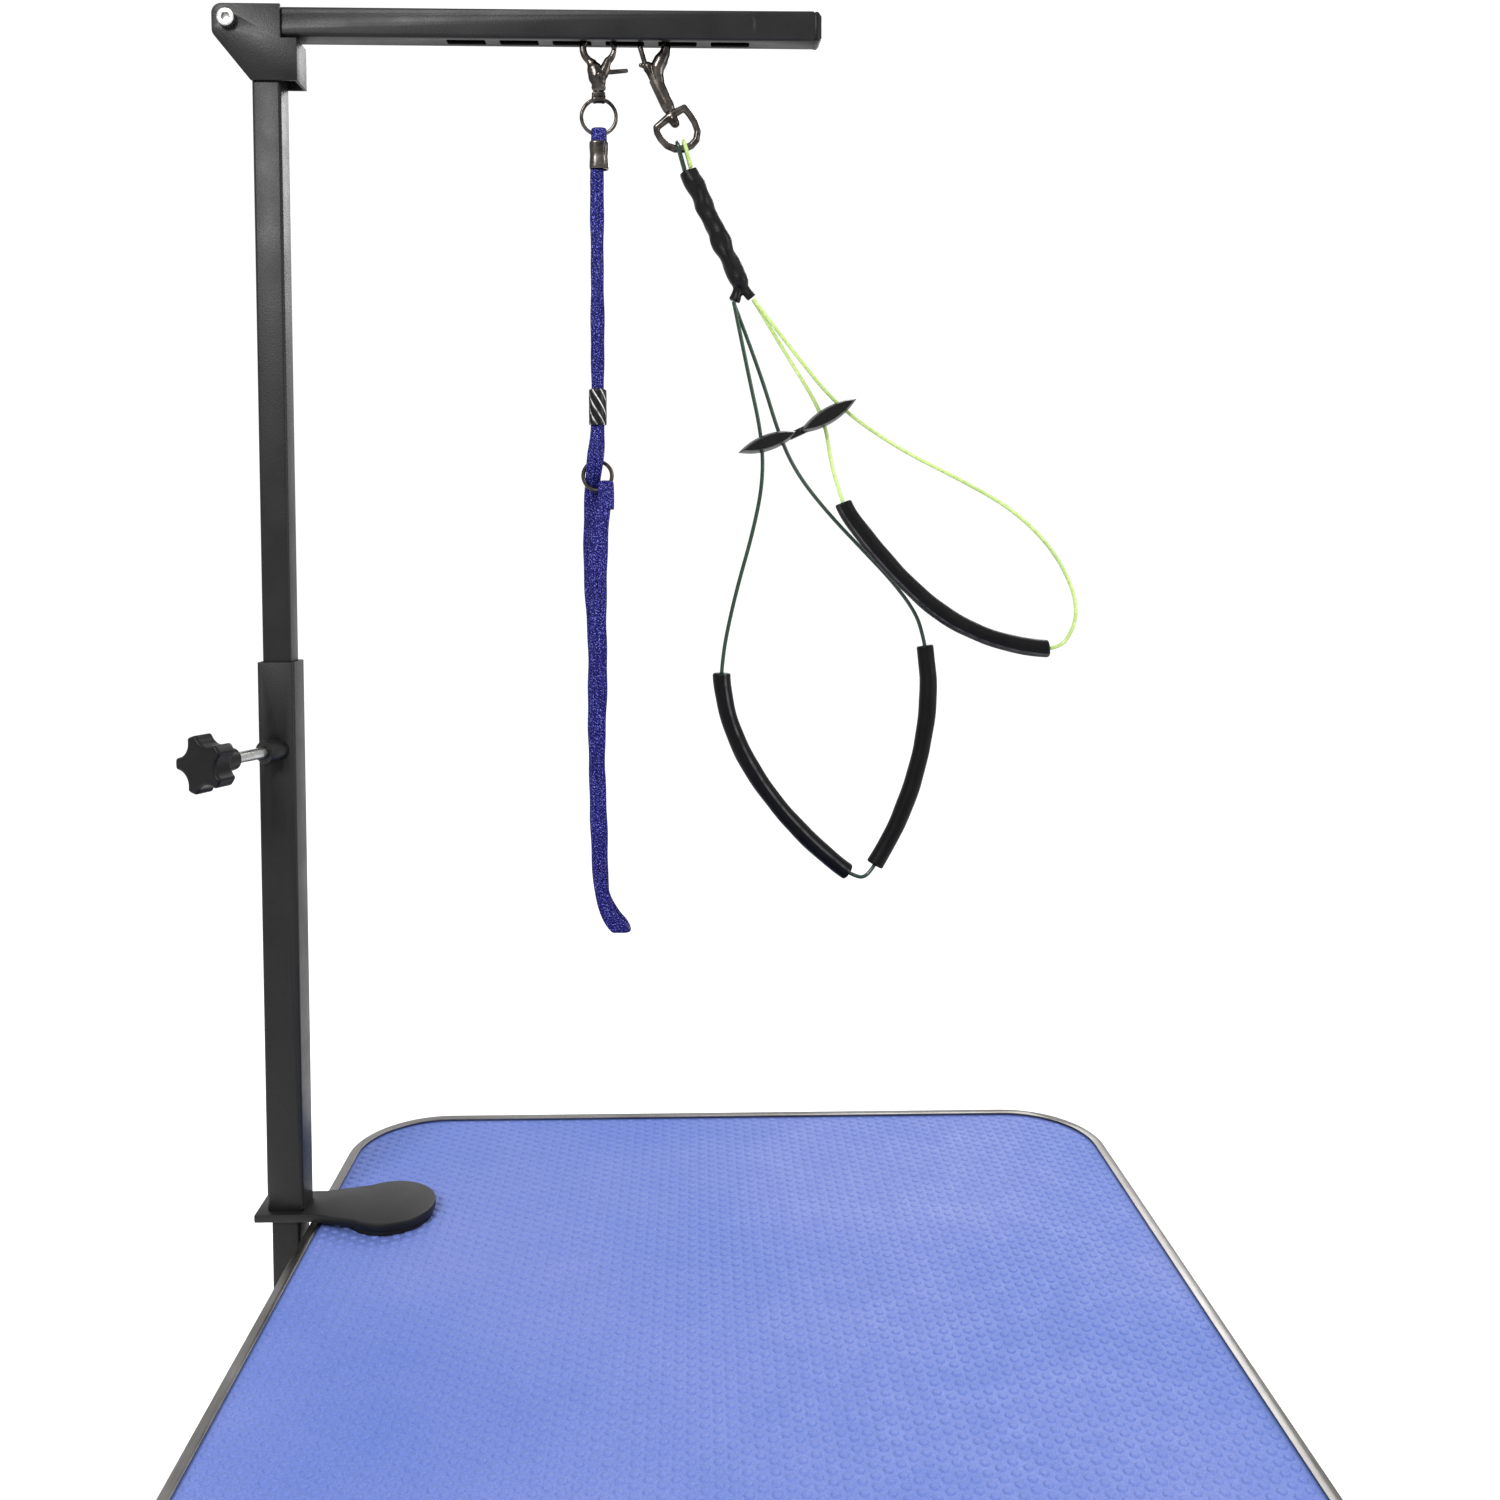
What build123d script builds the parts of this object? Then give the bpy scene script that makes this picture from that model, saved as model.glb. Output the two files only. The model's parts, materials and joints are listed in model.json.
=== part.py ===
from build123d import *
import math
import os

# Folding pet grooming table with a clamp-on arm, a noose and a haunch harness.
# Millimetres. Z is up from the floor, X runs across the table, Y runs along it to the end
# where the arm stands. The model is drawn about the table's centre line and then moved
# along X by TABLE_X, so that the origin is under the middle of the whole object.

# ---- table ----
TABLE_W = 610.0
TABLE_L = 915.0
TABLE_H = 760.0
CORNER_R = 70.0
MAT_T = 3.0
BOARD_T = 18.0
TRIM_T = 1.6
TRIM_LIP = 7.0
RAIL = 25.0
WALL = 1.5
RAIL_X = 245.0
RAIL_LENGTH = 840.0
CROSS_RAIL_Y = 300.0

# ---- legs ----
LEG_R = 12.5
SPLAY = 5.0
REAR_HINGE_Y = 400.0
REAR_DROP = 64.0
FRONT_DROP = 94.0
LEG_ABOVE_HINGE = 6.0
CROSSBAR_DROP = 500.0
CROSSBAR_R = 10.0
FOOT_R = 15.0
FOOT_LENGTH = 34.0
HINGE_BOLT_R = 4.0
CHANNEL_T = 3.0
CHANNEL_GAP = 0.4

# ---- clamp and post ----
ARM_Y = 290.0
POST_X = -323.0
OUTER_POST = 26.0
OUTER_WALL = 1.8
OUTER_TOP = 407.0
INNER_POST = 20.0
PLATE_T = 6.0
PAD_T = 4.0
PADDLE_X = -251.0
PADDLE_R = 33.0
NECK_W = 37.0
PLATE_END_X = -344.0
SCREW_X = -284.0
SCREW_R = 5.0
JAW_TOP = 95.0
JAW_T = 15.0
JAW_END_X = -270.0
CLAMP_BAR = 20.0
LOWER_TRAVEL = 195.0

# ---- top arm ----
ARM_TALL = 20.0
ARM_DEEP = 19.4
ARM_BOTTOM = 841.0
ARM_LEFT = -357.0
ARM_RIGHT = 57.0
CAP_T = 5.0
PIVOT_X = -348.0
SLOT_FIRST = -186.5
SLOT_PITCH = 36.9
SLOT_LENGTH = 27.0
SLOT_W = 9.0
SLOT_COUNT = 6

# ---- lock knob ----
LOCK_Z = 345.0
LOCK_YAW = 25.0
LOCK_REACH = 66.0
KNOB_R = 20.0
LOCK_TIP_LENGTH = 5.0

# ---- noose ----
NOOSE_X = -95.5
CORD_R = 4.0
NOOSE_RING_Z = 790.4
SLIP_RING_Z = 539.0

# ---- harness ----
SNAP_TILT = 17.0
CABLE_R = 1.43
LOOP_PAD_R = 6.5
PAD_BORE_GAP = 0.12
SLEEVE_R = 6.6
LENS_HALF_T = 5.9
LENS_HALF_DEPTH = 13.0
SLEEVE_LEG_R = 4.0

# The lock knob is the only piece past the table's left side and the table's right edge is
# the other end, so the middle of the whole object lies this far left of the table's middle.
KNOB_OVERHANG = 66.77
TABLE_X = KNOB_OVERHANG / 2

# The front hinges hang lower, so that one leg frame folds under the other. They stand
# further out by the splay over that height, and all four feet reach the same distance.
FRONT_HINGE_Y = REAR_HINGE_Y + (FRONT_DROP - REAR_DROP) * math.tan(math.radians(SPLAY))

TOP = TABLE_H
BAR_2_X = SLOT_FIRST + 2.5 * SLOT_PITCH
BAR_3_X = SLOT_FIRST + 3.5 * SLOT_PITCH
BASE = (Align.CENTER, Align.CENTER, Align.MIN)


def block(x0, x1, y0, y1, z0, z1):
    size = (abs(x1 - x0), abs(y1 - y0), abs(z1 - z0))
    centre = ((x0 + x1) / 2, (y0 + y1) / 2, (z0 + z1) / 2)
    return Pos(*centre) * Box(*size)


def rod(start, end, radius):
    """A solid round bar between two points."""
    start = Vector(*start)
    along = Vector(*end) - start
    plane = Plane(origin=start, z_dir=along.normalized())
    return extrude(plane * Circle(radius), along.length)


def fuse(pieces):
    """One solid from pieces that touch or overlap."""
    whole = pieces[0]
    for piece in pieces[1:]:
        whole = whole + piece
    return whole


def square_tube(x0, x1, y0, y1, z0, z1, axis, wall):
    """A square tube along one axis, open at both ends."""
    grow = {"x": (0, wall, wall), "y": (wall, 0, wall), "z": (wall, wall, 0)}[axis]
    outer = block(x0, x1, y0, y1, z0, z1)
    inner = block(
        x0 + grow[0], x1 - grow[0], y0 + grow[1], y1 - grow[1], z0 + grow[2], z1 - grow[2]
    )
    return outer - inner


def rounded_slab(width, length, radius, z0, z1):
    return Pos(0, 0, z0) * extrude(RectangleRounded(width, length, radius), z1 - z0)


def hexagon(radius, height):
    return extrude(RegularPolygon(radius, 6), height)


def ring(centre, major, minor, facing="y"):
    """A closed wire ring whose axis is X, Y or Z."""
    turn = {"x": Rot(0, 90, 0), "y": Rot(90, 0, 0), "z": Rot(0, 0, 0)}[facing]
    return Pos(*centre) * turn * Torus(major, minor)


def arc_wire(major, minor, start_angle, sweep_angle):
    """Part of a wire ring in the XZ plane about the origin, angles from +X towards +Z."""
    part = Rot(0, 0, start_angle) * Torus(major, minor, major_angle=sweep_angle, align=None)
    return Rot(90, 0, 0) * part


def corner_radii(points):
    """Each arc is as large as its two runs allow: 0.45 of the shorter over tan(half turn)."""
    radii = []
    for a, b, c in zip(points, points[1:], points[2:]):
        before = Vector(*b) - Vector(*a)
        after = Vector(*c) - Vector(*b)
        half_turn = math.radians(before.get_angle(after)) / 2
        radii.append(0.45 * min(before.length, after.length) / math.tan(half_turn))
    return radii


def cord_tube(points, radius, radii=None):
    """Straight runs joined by tangent arcs, swept with a round section."""
    path = FilletPolyline(*points, radius=radii or corner_radii(points))
    section = Plane(origin=path @ 0, z_dir=path % 0) * Circle(radius)
    return sweep(section, path=path), path.length


def report_cord(name, points, tube, length, radius):
    radii = corner_radii(points)
    expected = math.pi * radius ** 2 * length
    print(
        f"{name}: length {length:.0f} mm, volume {tube.volume / expected:.3f} of section x length,"
        f" radii {min(radii):.1f} to {max(radii):.1f} mm"
    )


# ---------------------------------------------------------------- table top and frame
def table_top():
    mat_z = TOP - MAT_T
    board_z = mat_z - BOARD_T
    inside_w = TABLE_W - 2 * TRIM_T
    inside_l = TABLE_L - 2 * TRIM_T
    inside_r = CORNER_R - TRIM_T
    board = rounded_slab(inside_w, inside_l, inside_r, board_z, mat_z)
    mat = rounded_slab(inside_w, inside_l, inside_r, mat_z, TOP)
    trim = rounded_slab(TABLE_W, TABLE_L, CORNER_R, board_z - TRIM_T, TOP + TRIM_T)
    trim -= rounded_slab(inside_w, inside_l, inside_r, board_z, TOP)
    open_w = TABLE_W - 2 * TRIM_LIP
    open_l = TABLE_L - 2 * TRIM_LIP
    trim -= rounded_slab(open_w, open_l, CORNER_R - TRIM_LIP, board_z - 5, TOP + 5)
    return {"top_board": board, "top_mat": mat, "edge_trim": trim}


RAIL_TOP = TOP - MAT_T - BOARD_T
RAIL_BOTTOM = RAIL_TOP - RAIL


def under_frame():
    half = RAIL / 2
    side_rails = []
    cross_rails = []
    for sign in (-1, 1):
        x = sign * RAIL_X
        end = RAIL_LENGTH / 2
        side_rails.append(
            square_tube(x - half, x + half, -end, end, RAIL_BOTTOM, RAIL_TOP, "y", WALL)
        )
        y = sign * CROSS_RAIL_Y
        reach = RAIL_X - half
        cross_rails.append(
            square_tube(-reach, reach, y - half, y + half, RAIL_BOTTOM, RAIL_TOP, "x", WALL)
        )
    caps = []
    screws = []
    for sx in (-1, 1):
        for sy in (-1, 1):
            y = sy * RAIL_LENGTH / 2
            x = sx * RAIL_X
            plug = half - WALL
            flange = block(x - half, x + half, y, y + sy * 2.5, RAIL_BOTTOM, RAIL_TOP)
            spigot = block(
                x - plug, x + plug, y - sy * 12, y, RAIL_BOTTOM + WALL, RAIL_TOP - WALL
            )
            caps.append(flange + spigot)
        for y in (-360, -180, 0, 180, 360):
            head = Pos(sx * RAIL_X, y, RAIL_BOTTOM - 2.2) * Cylinder(4.5, 2.2, align=BASE)
            screws.append(head)
    return {
        "side_rails": Compound(side_rails),
        "cross_rails": Compound(cross_rails),
        "rail_end_caps": Compound(caps),
        "rail_screws": Compound(screws),
    }


def hinge_y(end_sign):
    return REAR_HINGE_Y if end_sign > 0 else FRONT_HINGE_Y


def hinge_channel(x, end_sign, drop):
    """A folded steel channel under a side rail, with the end wall that stops the leg."""
    pivot_y = hinge_y(end_sign)
    pivot_z = TOP - drop
    inside = LEG_R + CHANNEL_GAP
    outside = inside + CHANNEL_T
    y0 = end_sign * (pivot_y - 16)
    y1 = end_sign * (pivot_y + 18)
    bottom = pivot_z - 16
    body = block(x - outside, x + outside, y0, y1, bottom, RAIL_BOTTOM)
    wall_in = end_sign * (pivot_y + 18 - CHANNEL_T)
    body -= block(x - inside, x + inside, y0 - end_sign, wall_in, bottom - 1, RAIL_BOTTOM - CHANNEL_T)
    pivot = (x, end_sign * pivot_y, pivot_z)
    hole = Pos(*pivot) * Rot(0, 90, 0) * Cylinder(HINGE_BOLT_R + 0.1, 60)
    return body - hole


def hinge_bolt(x, end_sign, drop):
    outside = LEG_R + CHANNEL_GAP + CHANNEL_T
    centre = Pos(x, end_sign * hinge_y(end_sign), TOP - drop) * Rot(0, 90, 0)
    shank = centre * Cylinder(HINGE_BOLT_R, 2 * outside)
    head = centre * Pos(0, 0, outside) * hexagon(7, 5)
    nut = centre * Pos(0, 0, -outside - 5) * hexagon(7, 5)
    return shank + head + nut


def hinges():
    nodes = {}
    bolts = []
    for end, end_sign, drop in (("front", -1, FRONT_DROP), ("rear", 1, REAR_DROP)):
        channels = []
        for x in (-RAIL_X, RAIL_X):
            channels.append(hinge_channel(x, end_sign, drop))
            bolts.append(hinge_bolt(x, end_sign, drop))
        nodes[f"hinge_channels_{end}"] = Compound(channels)
    nodes["leg_hinge_bolts"] = Compound(bolts)
    return nodes


def leg_point(end_sign, drop, distance, x=0.0):
    """A point on a leg's axis, measured down the splayed leg from its hinge."""
    tilt = math.radians(SPLAY)
    y = end_sign * (hinge_y(end_sign) + distance * math.sin(tilt))
    return (x, y, TOP - drop - distance * math.cos(tilt))


def leg_frame(end, end_sign, drop):
    to_floor = (TOP - drop) / math.cos(math.radians(SPLAY))
    legs = []
    feet = []
    for x in (-RAIL_X, RAIL_X):
        top = leg_point(end_sign, drop, -LEG_ABOVE_HINGE, x)
        bottom = leg_point(end_sign, drop, to_floor - 10, x)
        tube = rod(top, bottom, LEG_R) - rod(top, bottom, LEG_R - WALL)
        pivot = leg_point(end_sign, drop, 0, x)
        tube -= Pos(*pivot) * Rot(0, 90, 0) * Cylinder(HINGE_BOLT_R + 0.05, 60)
        legs.append(tube)
        foot_top = leg_point(end_sign, drop, to_floor - FOOT_LENGTH, x)
        foot_end = leg_point(end_sign, drop, to_floor + 4, x)
        foot = rod(foot_top, foot_end, FOOT_R) - rod(foot_top, bottom, LEG_R)
        below = block(x - 50, x + 50, end_sign * 350, end_sign * 550, -50, 0)
        feet.append(foot - below)
    bar = rod(
        leg_point(end_sign, drop, CROSSBAR_DROP, -RAIL_X),
        leg_point(end_sign, drop, CROSSBAR_DROP, RAIL_X),
        CROSSBAR_R,
    )
    bar -= rod(
        leg_point(end_sign, drop, CROSSBAR_DROP, -RAIL_X),
        leg_point(end_sign, drop, CROSSBAR_DROP, RAIL_X),
        CROSSBAR_R - WALL,
    )
    for x in (-RAIL_X, RAIL_X):
        bar -= rod(
            leg_point(end_sign, drop, CROSSBAR_DROP - 40, x),
            leg_point(end_sign, drop, CROSSBAR_DROP + 40, x),
            LEG_R + 0.02,
        )
    return {
        f"{end}_legs": Compound(legs),
        f"{end}_feet": Compound(feet),
        f"{end}_crossbar": bar,
    }


# ---------------------------------------------------------------- clamp and post
def star_knob(radius, height, hub_r, hub_height):
    """A five-lobed hand knob about Z, its hub below z=0."""
    disc = Cylinder(radius, height, align=BASE)
    for k in range(5):
        angle = math.radians(72 * k + 36)
        reach = radius * 1.22
        notch = Pos(reach * math.cos(angle), reach * math.sin(angle), -1)
        disc -= notch * Cylinder(radius * 0.52, height + 2, align=BASE)
    disc = fillet(disc.edges(), height * 0.12)
    hub = Pos(0, 0, -hub_height) * Cone(hub_r * 0.8, hub_r, hub_height + 1, align=BASE)
    return disc + hub


PLATE_BOTTOM = TOP + PAD_T
PLATE_TOP = PLATE_BOTTOM + PLATE_T
JAW_Z = TOP - JAW_TOP


def clamp_plate():
    """The paddle that lies on the table: a neck under the post that widens to a round end."""
    half = NECK_W / 2
    neck_end = PADDLE_X - PADDLE_R * 0.55
    flare_x = POST_X + OUTER_POST / 2 + 8
    neck = Pos(0, ARM_Y) * Polygon(
        (PLATE_END_X, -half),
        (flare_x, -half),
        (neck_end, -PADDLE_R * 0.82),
        (PADDLE_X, -PADDLE_R),
        (PADDLE_X, PADDLE_R),
        (neck_end, PADDLE_R * 0.82),
        (flare_x, half),
        (PLATE_END_X, half),
        align=None,
    )
    outline = neck + Pos(PADDLE_X, ARM_Y) * Circle(PADDLE_R)
    return Pos(0, 0, PLATE_BOTTOM) * extrude(outline, PLATE_T)


def lock_axis_point(distance):
    """A point on the lock screw's axis, measured out from the post's front face."""
    yaw = math.radians(LOCK_YAW)
    x = POST_X - distance * math.sin(yaw)
    y = ARM_Y - OUTER_POST / 2 - distance * math.cos(yaw)
    return (x, y, TOP + LOCK_Z)


def clamp_and_post():
    nodes = {"clamp_plate": clamp_plate()}
    nodes["clamp_plate_pad"] = Pos(PADDLE_X, ARM_Y, TOP) * Cylinder(PADDLE_R - 2, PAD_T, align=BASE)
    half_y = OUTER_POST / 2
    bar_left = POST_X - CLAMP_BAR / 2
    bar_right = POST_X + CLAMP_BAR / 2
    jaw_bottom = JAW_Z - JAW_T
    nodes["clamp_back"] = block(
        bar_left, bar_right, ARM_Y - half_y, ARM_Y + half_y, jaw_bottom, PLATE_BOTTOM
    )
    jaw = block(bar_right, JAW_END_X, ARM_Y - half_y, ARM_Y + half_y, jaw_bottom, JAW_Z)
    nodes["clamp_jaw"] = jaw - Pos(SCREW_X, ARM_Y, JAW_Z) * Cylinder(SCREW_R + 0.3, 60)
    nut = Pos(SCREW_X, ARM_Y, jaw_bottom - 10) * hexagon(9.5, 10)
    nodes["clamp_nut"] = nut - Pos(SCREW_X, ARM_Y, jaw_bottom) * Cylinder(SCREW_R + 0.05, 60)

    outer = square_tube(
        POST_X - half_y, POST_X + half_y, ARM_Y - half_y, ARM_Y + half_y,
        PLATE_TOP, TOP + OUTER_TOP, "z", OUTER_WALL,
    )
    outer -= rod(lock_axis_point(-6), lock_axis_point(20), 4.4)
    nodes["outer_post"] = outer
    boss = rod(lock_axis_point(-6), lock_axis_point(13), 8)
    boss -= rod(lock_axis_point(-8), lock_axis_point(20), 4.05)
    behind = block(
        POST_X - 40, POST_X + 40, ARM_Y - half_y, ARM_Y + 20, TOP + LOCK_Z - 20, TOP + LOCK_Z + 20
    )
    nodes["lock_boss"] = boss - behind
    return nodes


def clamp_screw():
    """The screw that grips the table from below, its swivelling foot and its knob."""
    board_bottom = RAIL_TOP
    foot_top = board_bottom - 0.1
    foot_bottom = foot_top - 6
    foot = Pos(SCREW_X, ARM_Y, foot_bottom) * Cylinder(12, 6, align=BASE)
    foot = foot + Pos(SCREW_X, ARM_Y, foot_bottom - 4) * Cylinder(7.5, 4, align=BASE)
    foot -= Pos(SCREW_X, ARM_Y, foot_bottom - 5) * Cylinder(SCREW_R - 0.9, 6, align=BASE)
    knob_top = TOP - 152
    shank = rod((SCREW_X, ARM_Y, knob_top - 10), (SCREW_X, ARM_Y, foot_bottom - 4.3), SCREW_R)
    spigot = rod((SCREW_X, ARM_Y, foot_bottom - 5), (SCREW_X, ARM_Y, foot_bottom + 0.6), SCREW_R - 0.96)
    knob = Pos(SCREW_X, ARM_Y, knob_top - 12) * Rot(180, 0, 0) * star_knob(22, 16, 10, 12)
    knob -= rod((SCREW_X, ARM_Y, knob_top - 10), (SCREW_X, ARM_Y, knob_top + 5), SCREW_R)
    return {"clamp_foot": foot, "clamp_screw": shank + spigot, "clamp_knob": knob}


def lock_screw():
    """The screw that holds the inner post at its height, with its star knob."""
    tip = Vector(*lock_axis_point(-2.1))
    out = (Vector(*lock_axis_point(10)) - tip).normalized()
    knob_start = Vector(*lock_axis_point(LOCK_REACH - 8))
    cone = Plane(origin=tip, z_dir=out) * Cone(1.4, 4, LOCK_TIP_LENGTH, align=BASE)
    shank = rod(tuple(tip + out * (LOCK_TIP_LENGTH + 0.1)), tuple(knob_start), 4)
    knob = Plane(origin=knob_start, z_dir=out) * star_knob(KNOB_R, 16, 9.5, 16)
    knob -= rod(tuple(knob_start - out * 20), tuple(knob_start), 4)
    return {"lock_tip": cone, "lock_screw": shank, "lock_knob": knob}


# ---------------------------------------------------------------- inner post and arm
BRACKET_TOP = TOP + 862.0
BRACKET_BOTTOM = TOP + 810.0
POST_TOP = TOP + ARM_BOTTOM - 0.3
PIVOT_Z = TOP + ARM_BOTTOM + ARM_TALL / 2
PLATE_THICK = 2.0


def arm_bracket():
    """A channel welded to the inner post: two cheeks that hold the arm, a web on the right."""
    left = -359.0
    cheek = Plane.XZ * Polygon(
        (left, TOP + 842),
        (left, BRACKET_TOP),
        (-312, BRACKET_TOP),
        (-312, TOP + 839),
        (-301, TOP + 839),
        (-301, BRACKET_BOTTOM),
        (-333, BRACKET_BOTTOM),
        align=None,
    )
    half = INNER_POST / 2
    solid = None
    for y in (ARM_Y + half, ARM_Y - half - PLATE_THICK):
        plate = extrude(Pos(0, y, 0) * cheek, PLATE_THICK, dir=(0, 1, 0))
        corners = plate.edges().filter_by(Axis.Y).sort_by(Axis.X)[:2]
        plate = fillet(corners, 7)
        solid = plate if solid is None else solid + plate
    outside = half + PLATE_THICK
    solid = solid + block(-303, -301, ARM_Y - outside, ARM_Y + outside, BRACKET_BOTTOM, TOP + 839)
    pin = Pos(PIVOT_X, ARM_Y, PIVOT_Z) * Rot(90, 0, 0)
    return solid - pin * Cylinder(4.1, 60)


def pivot_bolt():
    outside = INNER_POST / 2 + PLATE_THICK
    pin = Pos(PIVOT_X, ARM_Y, PIVOT_Z) * Rot(90, 0, 0)
    shank = pin * Cylinder(4, 2 * outside)
    head = pin * Pos(0, 0, outside) * Cylinder(6, 4.5, align=BASE)
    head -= pin * Pos(0, 0, outside + 2) * hexagon(3, 3)
    nut = pin * Pos(0, 0, -outside - 5) * hexagon(6.8, 5)
    return {"arm_pivot_bolt": shank + head, "arm_pivot_nut": nut}


def mast():
    half = INNER_POST / 2
    glide_bottom = PLATE_TOP + LOWER_TRAVEL + 2
    tube_bottom = glide_bottom + 3
    nodes = {"arm_bracket": arm_bracket()}
    nodes["inner_post"] = square_tube(
        POST_X - half, POST_X + half, ARM_Y - half, ARM_Y + half, tube_bottom, POST_TOP - 2, "z", WALL
    )
    nodes["inner_post_cap"] = block(
        POST_X - half, POST_X + half, ARM_Y - half, ARM_Y + half, POST_TOP - 2, POST_TOP
    )
    run = OUTER_POST / 2 - OUTER_WALL - 0.15
    glide = block(POST_X - run, POST_X + run, ARM_Y - run, ARM_Y + run, glide_bottom, tube_bottom)
    plug = half - WALL
    glide += block(
        POST_X - plug, POST_X + plug, ARM_Y - plug, ARM_Y + plug, glide_bottom, tube_bottom + 18
    )
    nodes["inner_post_glide"] = glide
    nodes.update(pivot_bolt())
    return nodes


def top_arm():
    z0 = TOP + ARM_BOTTOM
    z1 = z0 + ARM_TALL
    half = ARM_DEEP / 2
    tube = square_tube(ARM_LEFT, ARM_RIGHT, ARM_Y - half, ARM_Y + half, z0, z1, "x", WALL)
    for k in range(SLOT_COUNT):
        x = SLOT_FIRST + k * SLOT_PITCH
        slot = extrude(RectangleRounded(SLOT_LENGTH, SLOT_W, 1.5), 8)
        tube -= Pos(x, ARM_Y, z0 - 4) * slot
    tube -= Pos(PIVOT_X, ARM_Y, PIVOT_Z) * Rot(90, 0, 0) * Cylinder(4.05, 60)
    end = block(ARM_RIGHT, ARM_RIGHT + CAP_T, ARM_Y - half, ARM_Y + half, z0, z1)
    end = chamfer(end.faces().sort_by(Axis.X)[-1].edges(), 2.5)
    inside = half - WALL
    end += block(ARM_RIGHT - 12, ARM_RIGHT, ARM_Y - inside, ARM_Y + inside, z0 + WALL, z1 - WALL)
    return {"arm_tube": tube, "arm_end_cap": end}


# ---------------------------------------------------------------- trigger snap and noose
CLAW_R = 9.2
CLAW_WIRE = 2.0
CLAW_Z = ARM_BOTTOM - 3.2


def noose_snap():
    """A small trigger snap whose claw goes through two of the arm's slots."""
    at = Pos(BAR_2_X, ARM_Y, TOP + CLAW_Z)
    claw = arc_wire(CLAW_R, CLAW_WIRE, 0, 262)
    neck = block(-5.5, 0.6, -2.8, 2.8, -24, -10)
    cheeks = block(-5.5, 5.2, -2.8, 2.8, -24, -15)
    barrel = Pos(0, 0, -29) * Cylinder(4.2, 5.5, align=BASE)
    body = claw + neck + cheeks + barrel
    body -= Pos(0, 0, -30) * Cylinder(1.55, 5, align=BASE)
    body -= block(-1.6, 6, -1.6, 1.6, -23, -9)
    pin = Pos(2.2, 0, -19) * Rot(90, 0, 0)
    body -= pin * Cylinder(1.5, 8)
    nodes = {"noose_snap": at * body, "noose_snap_rivet": at * pin * Cylinder(1.5, 7)}
    gate = arc_wire(CLAW_R, CLAW_WIRE * 0.9, 290, 64)
    stem = block(1.4, 6.2, -1.3, 1.3, -19, -8.6)
    boss = pin * Cylinder(2.8, 2.6)
    lever = Pos(2.2, 0, -19) * Rot(0, -20, 0) * block(0, 18, -1.3, 1.3, -1.4, 1.4)
    trigger = gate + stem + boss + lever
    trigger -= pin * Cylinder(1.56, 8)
    nodes["noose_snap_trigger"] = at * trigger
    return nodes


def noose_cord_points():
    """The cord's own route, from the ferrule down through the slip ring, round the loop."""
    return [
        (-95.5, 0.0, 753.9),
        (-96.2, 0.4, 706.0),
        (-95.4, -0.4, 655.0),
        (-96.0, 0.2, 607.0),
        (-96.2, 0.0, 566.0),
        (-97.4, -10.8, 550.0),
        (-101.6, 10.8, 527.0),
        (-102.0, 6.6, 500.0),
        (-101.2, 6.4, 454.0),
        (-98.4, 6.8, 404.0),
        (-99.8, 6.2, 352.0),
        (-98.0, 6.6, 300.0),
        (-97.4, 6.2, 254.0),
        (-95.4, 6.4, 234.0),
        (-88.6, 6.4, 220.0),
        (-79.6, 6.5, 210.5),
        (-79.6, -6.5, 210.5),
        (-88.6, -6.4, 220.0),
        (-94.6, -6.4, 236.0),
        (-95.6, -6.2, 262.0),
        (-96.4, -6.6, 306.0),
        (-97.4, -6.0, 352.0),
        (-94.6, -6.6, 402.0),
        (-95.4, -5.6, 452.0),
        (-90.8, -4.4, 492.0),
        (-88.6, -3.0, 515.5),
    ]


def place_points(points):
    """Points drawn about the arm's line and the table top, in the model's own place."""
    return [(x, ARM_Y + y, TOP + z) for x, y, z in points]


RING_WIRE = 1.35
RING_R = 12.2
EYE_Z = CLAW_Z - 34.2


def noose():
    nodes = {}
    x = BAR_2_X
    eye = ring((x, ARM_Y, TOP + EYE_Z), 3.7, 1.15, "x")
    stem = rod((x, ARM_Y, TOP + EYE_Z + 3.6), (x, ARM_Y, TOP + CLAW_Z - 25.2), 1.5)
    nodes["noose_swivel"] = eye + stem
    nodes["noose_ring"] = ring((x, ARM_Y, TOP + NOOSE_RING_Z), RING_R, RING_WIRE)
    ring_low = NOOSE_RING_Z - RING_R

    strap = 3.0
    inner = RING_WIRE + 0.25
    outer = inner + strap
    wrap = Pos(x, ARM_Y, TOP + ring_low) * Rot(0, 90, 0) * (Cylinder(outer, 10) - Cylinder(inner, 11))
    below = block(x - 8, x + 8, ARM_Y - 9, ARM_Y + 9, TOP + ring_low - 20, TOP + ring_low)
    legs = []
    for sign in (-1, 1):
        y0 = ARM_Y + sign * inner
        y1 = ARM_Y + sign * outer
        legs.append(block(x - 5, x + 5, y0, y1, TOP + 773, TOP + ring_low))
    loop = fuse([wrap - below] + legs)
    loop -= ring((x, ARM_Y, TOP + NOOSE_RING_Z), RING_R, RING_WIRE + 0.15)
    nodes["noose_top_loop"] = loop
    ferrule = extrude(RectangleRounded(13.7, 11.0, 4.5), 19)
    nodes["noose_ferrule"] = Pos(x, ARM_Y, TOP + 754) * ferrule

    points = place_points(noose_cord_points())
    cord, length = cord_tube(points, CORD_R)
    report_cord("noose_cord", points, cord, length, CORD_R)
    nodes["noose_cord"] = cord
    slip = ring((-96.5, ARM_Y, TOP + SLIP_RING_Z), 10.2, 1.45)
    nodes["noose_slip_ring"] = slip
    tail = block(-92.6, -84.6, ARM_Y - 6.8, ARM_Y + 2.4, TOP + 516, TOP + 536)
    tail = fillet(tail.edges().filter_by(Axis.Z), 2)
    tail -= ring((-96.5, ARM_Y, TOP + SLIP_RING_Z), 10.2, 1.5)
    nodes["noose_tail_loop"] = max(tail.solids(), key=lambda s: s.volume)
    return nodes


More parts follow.
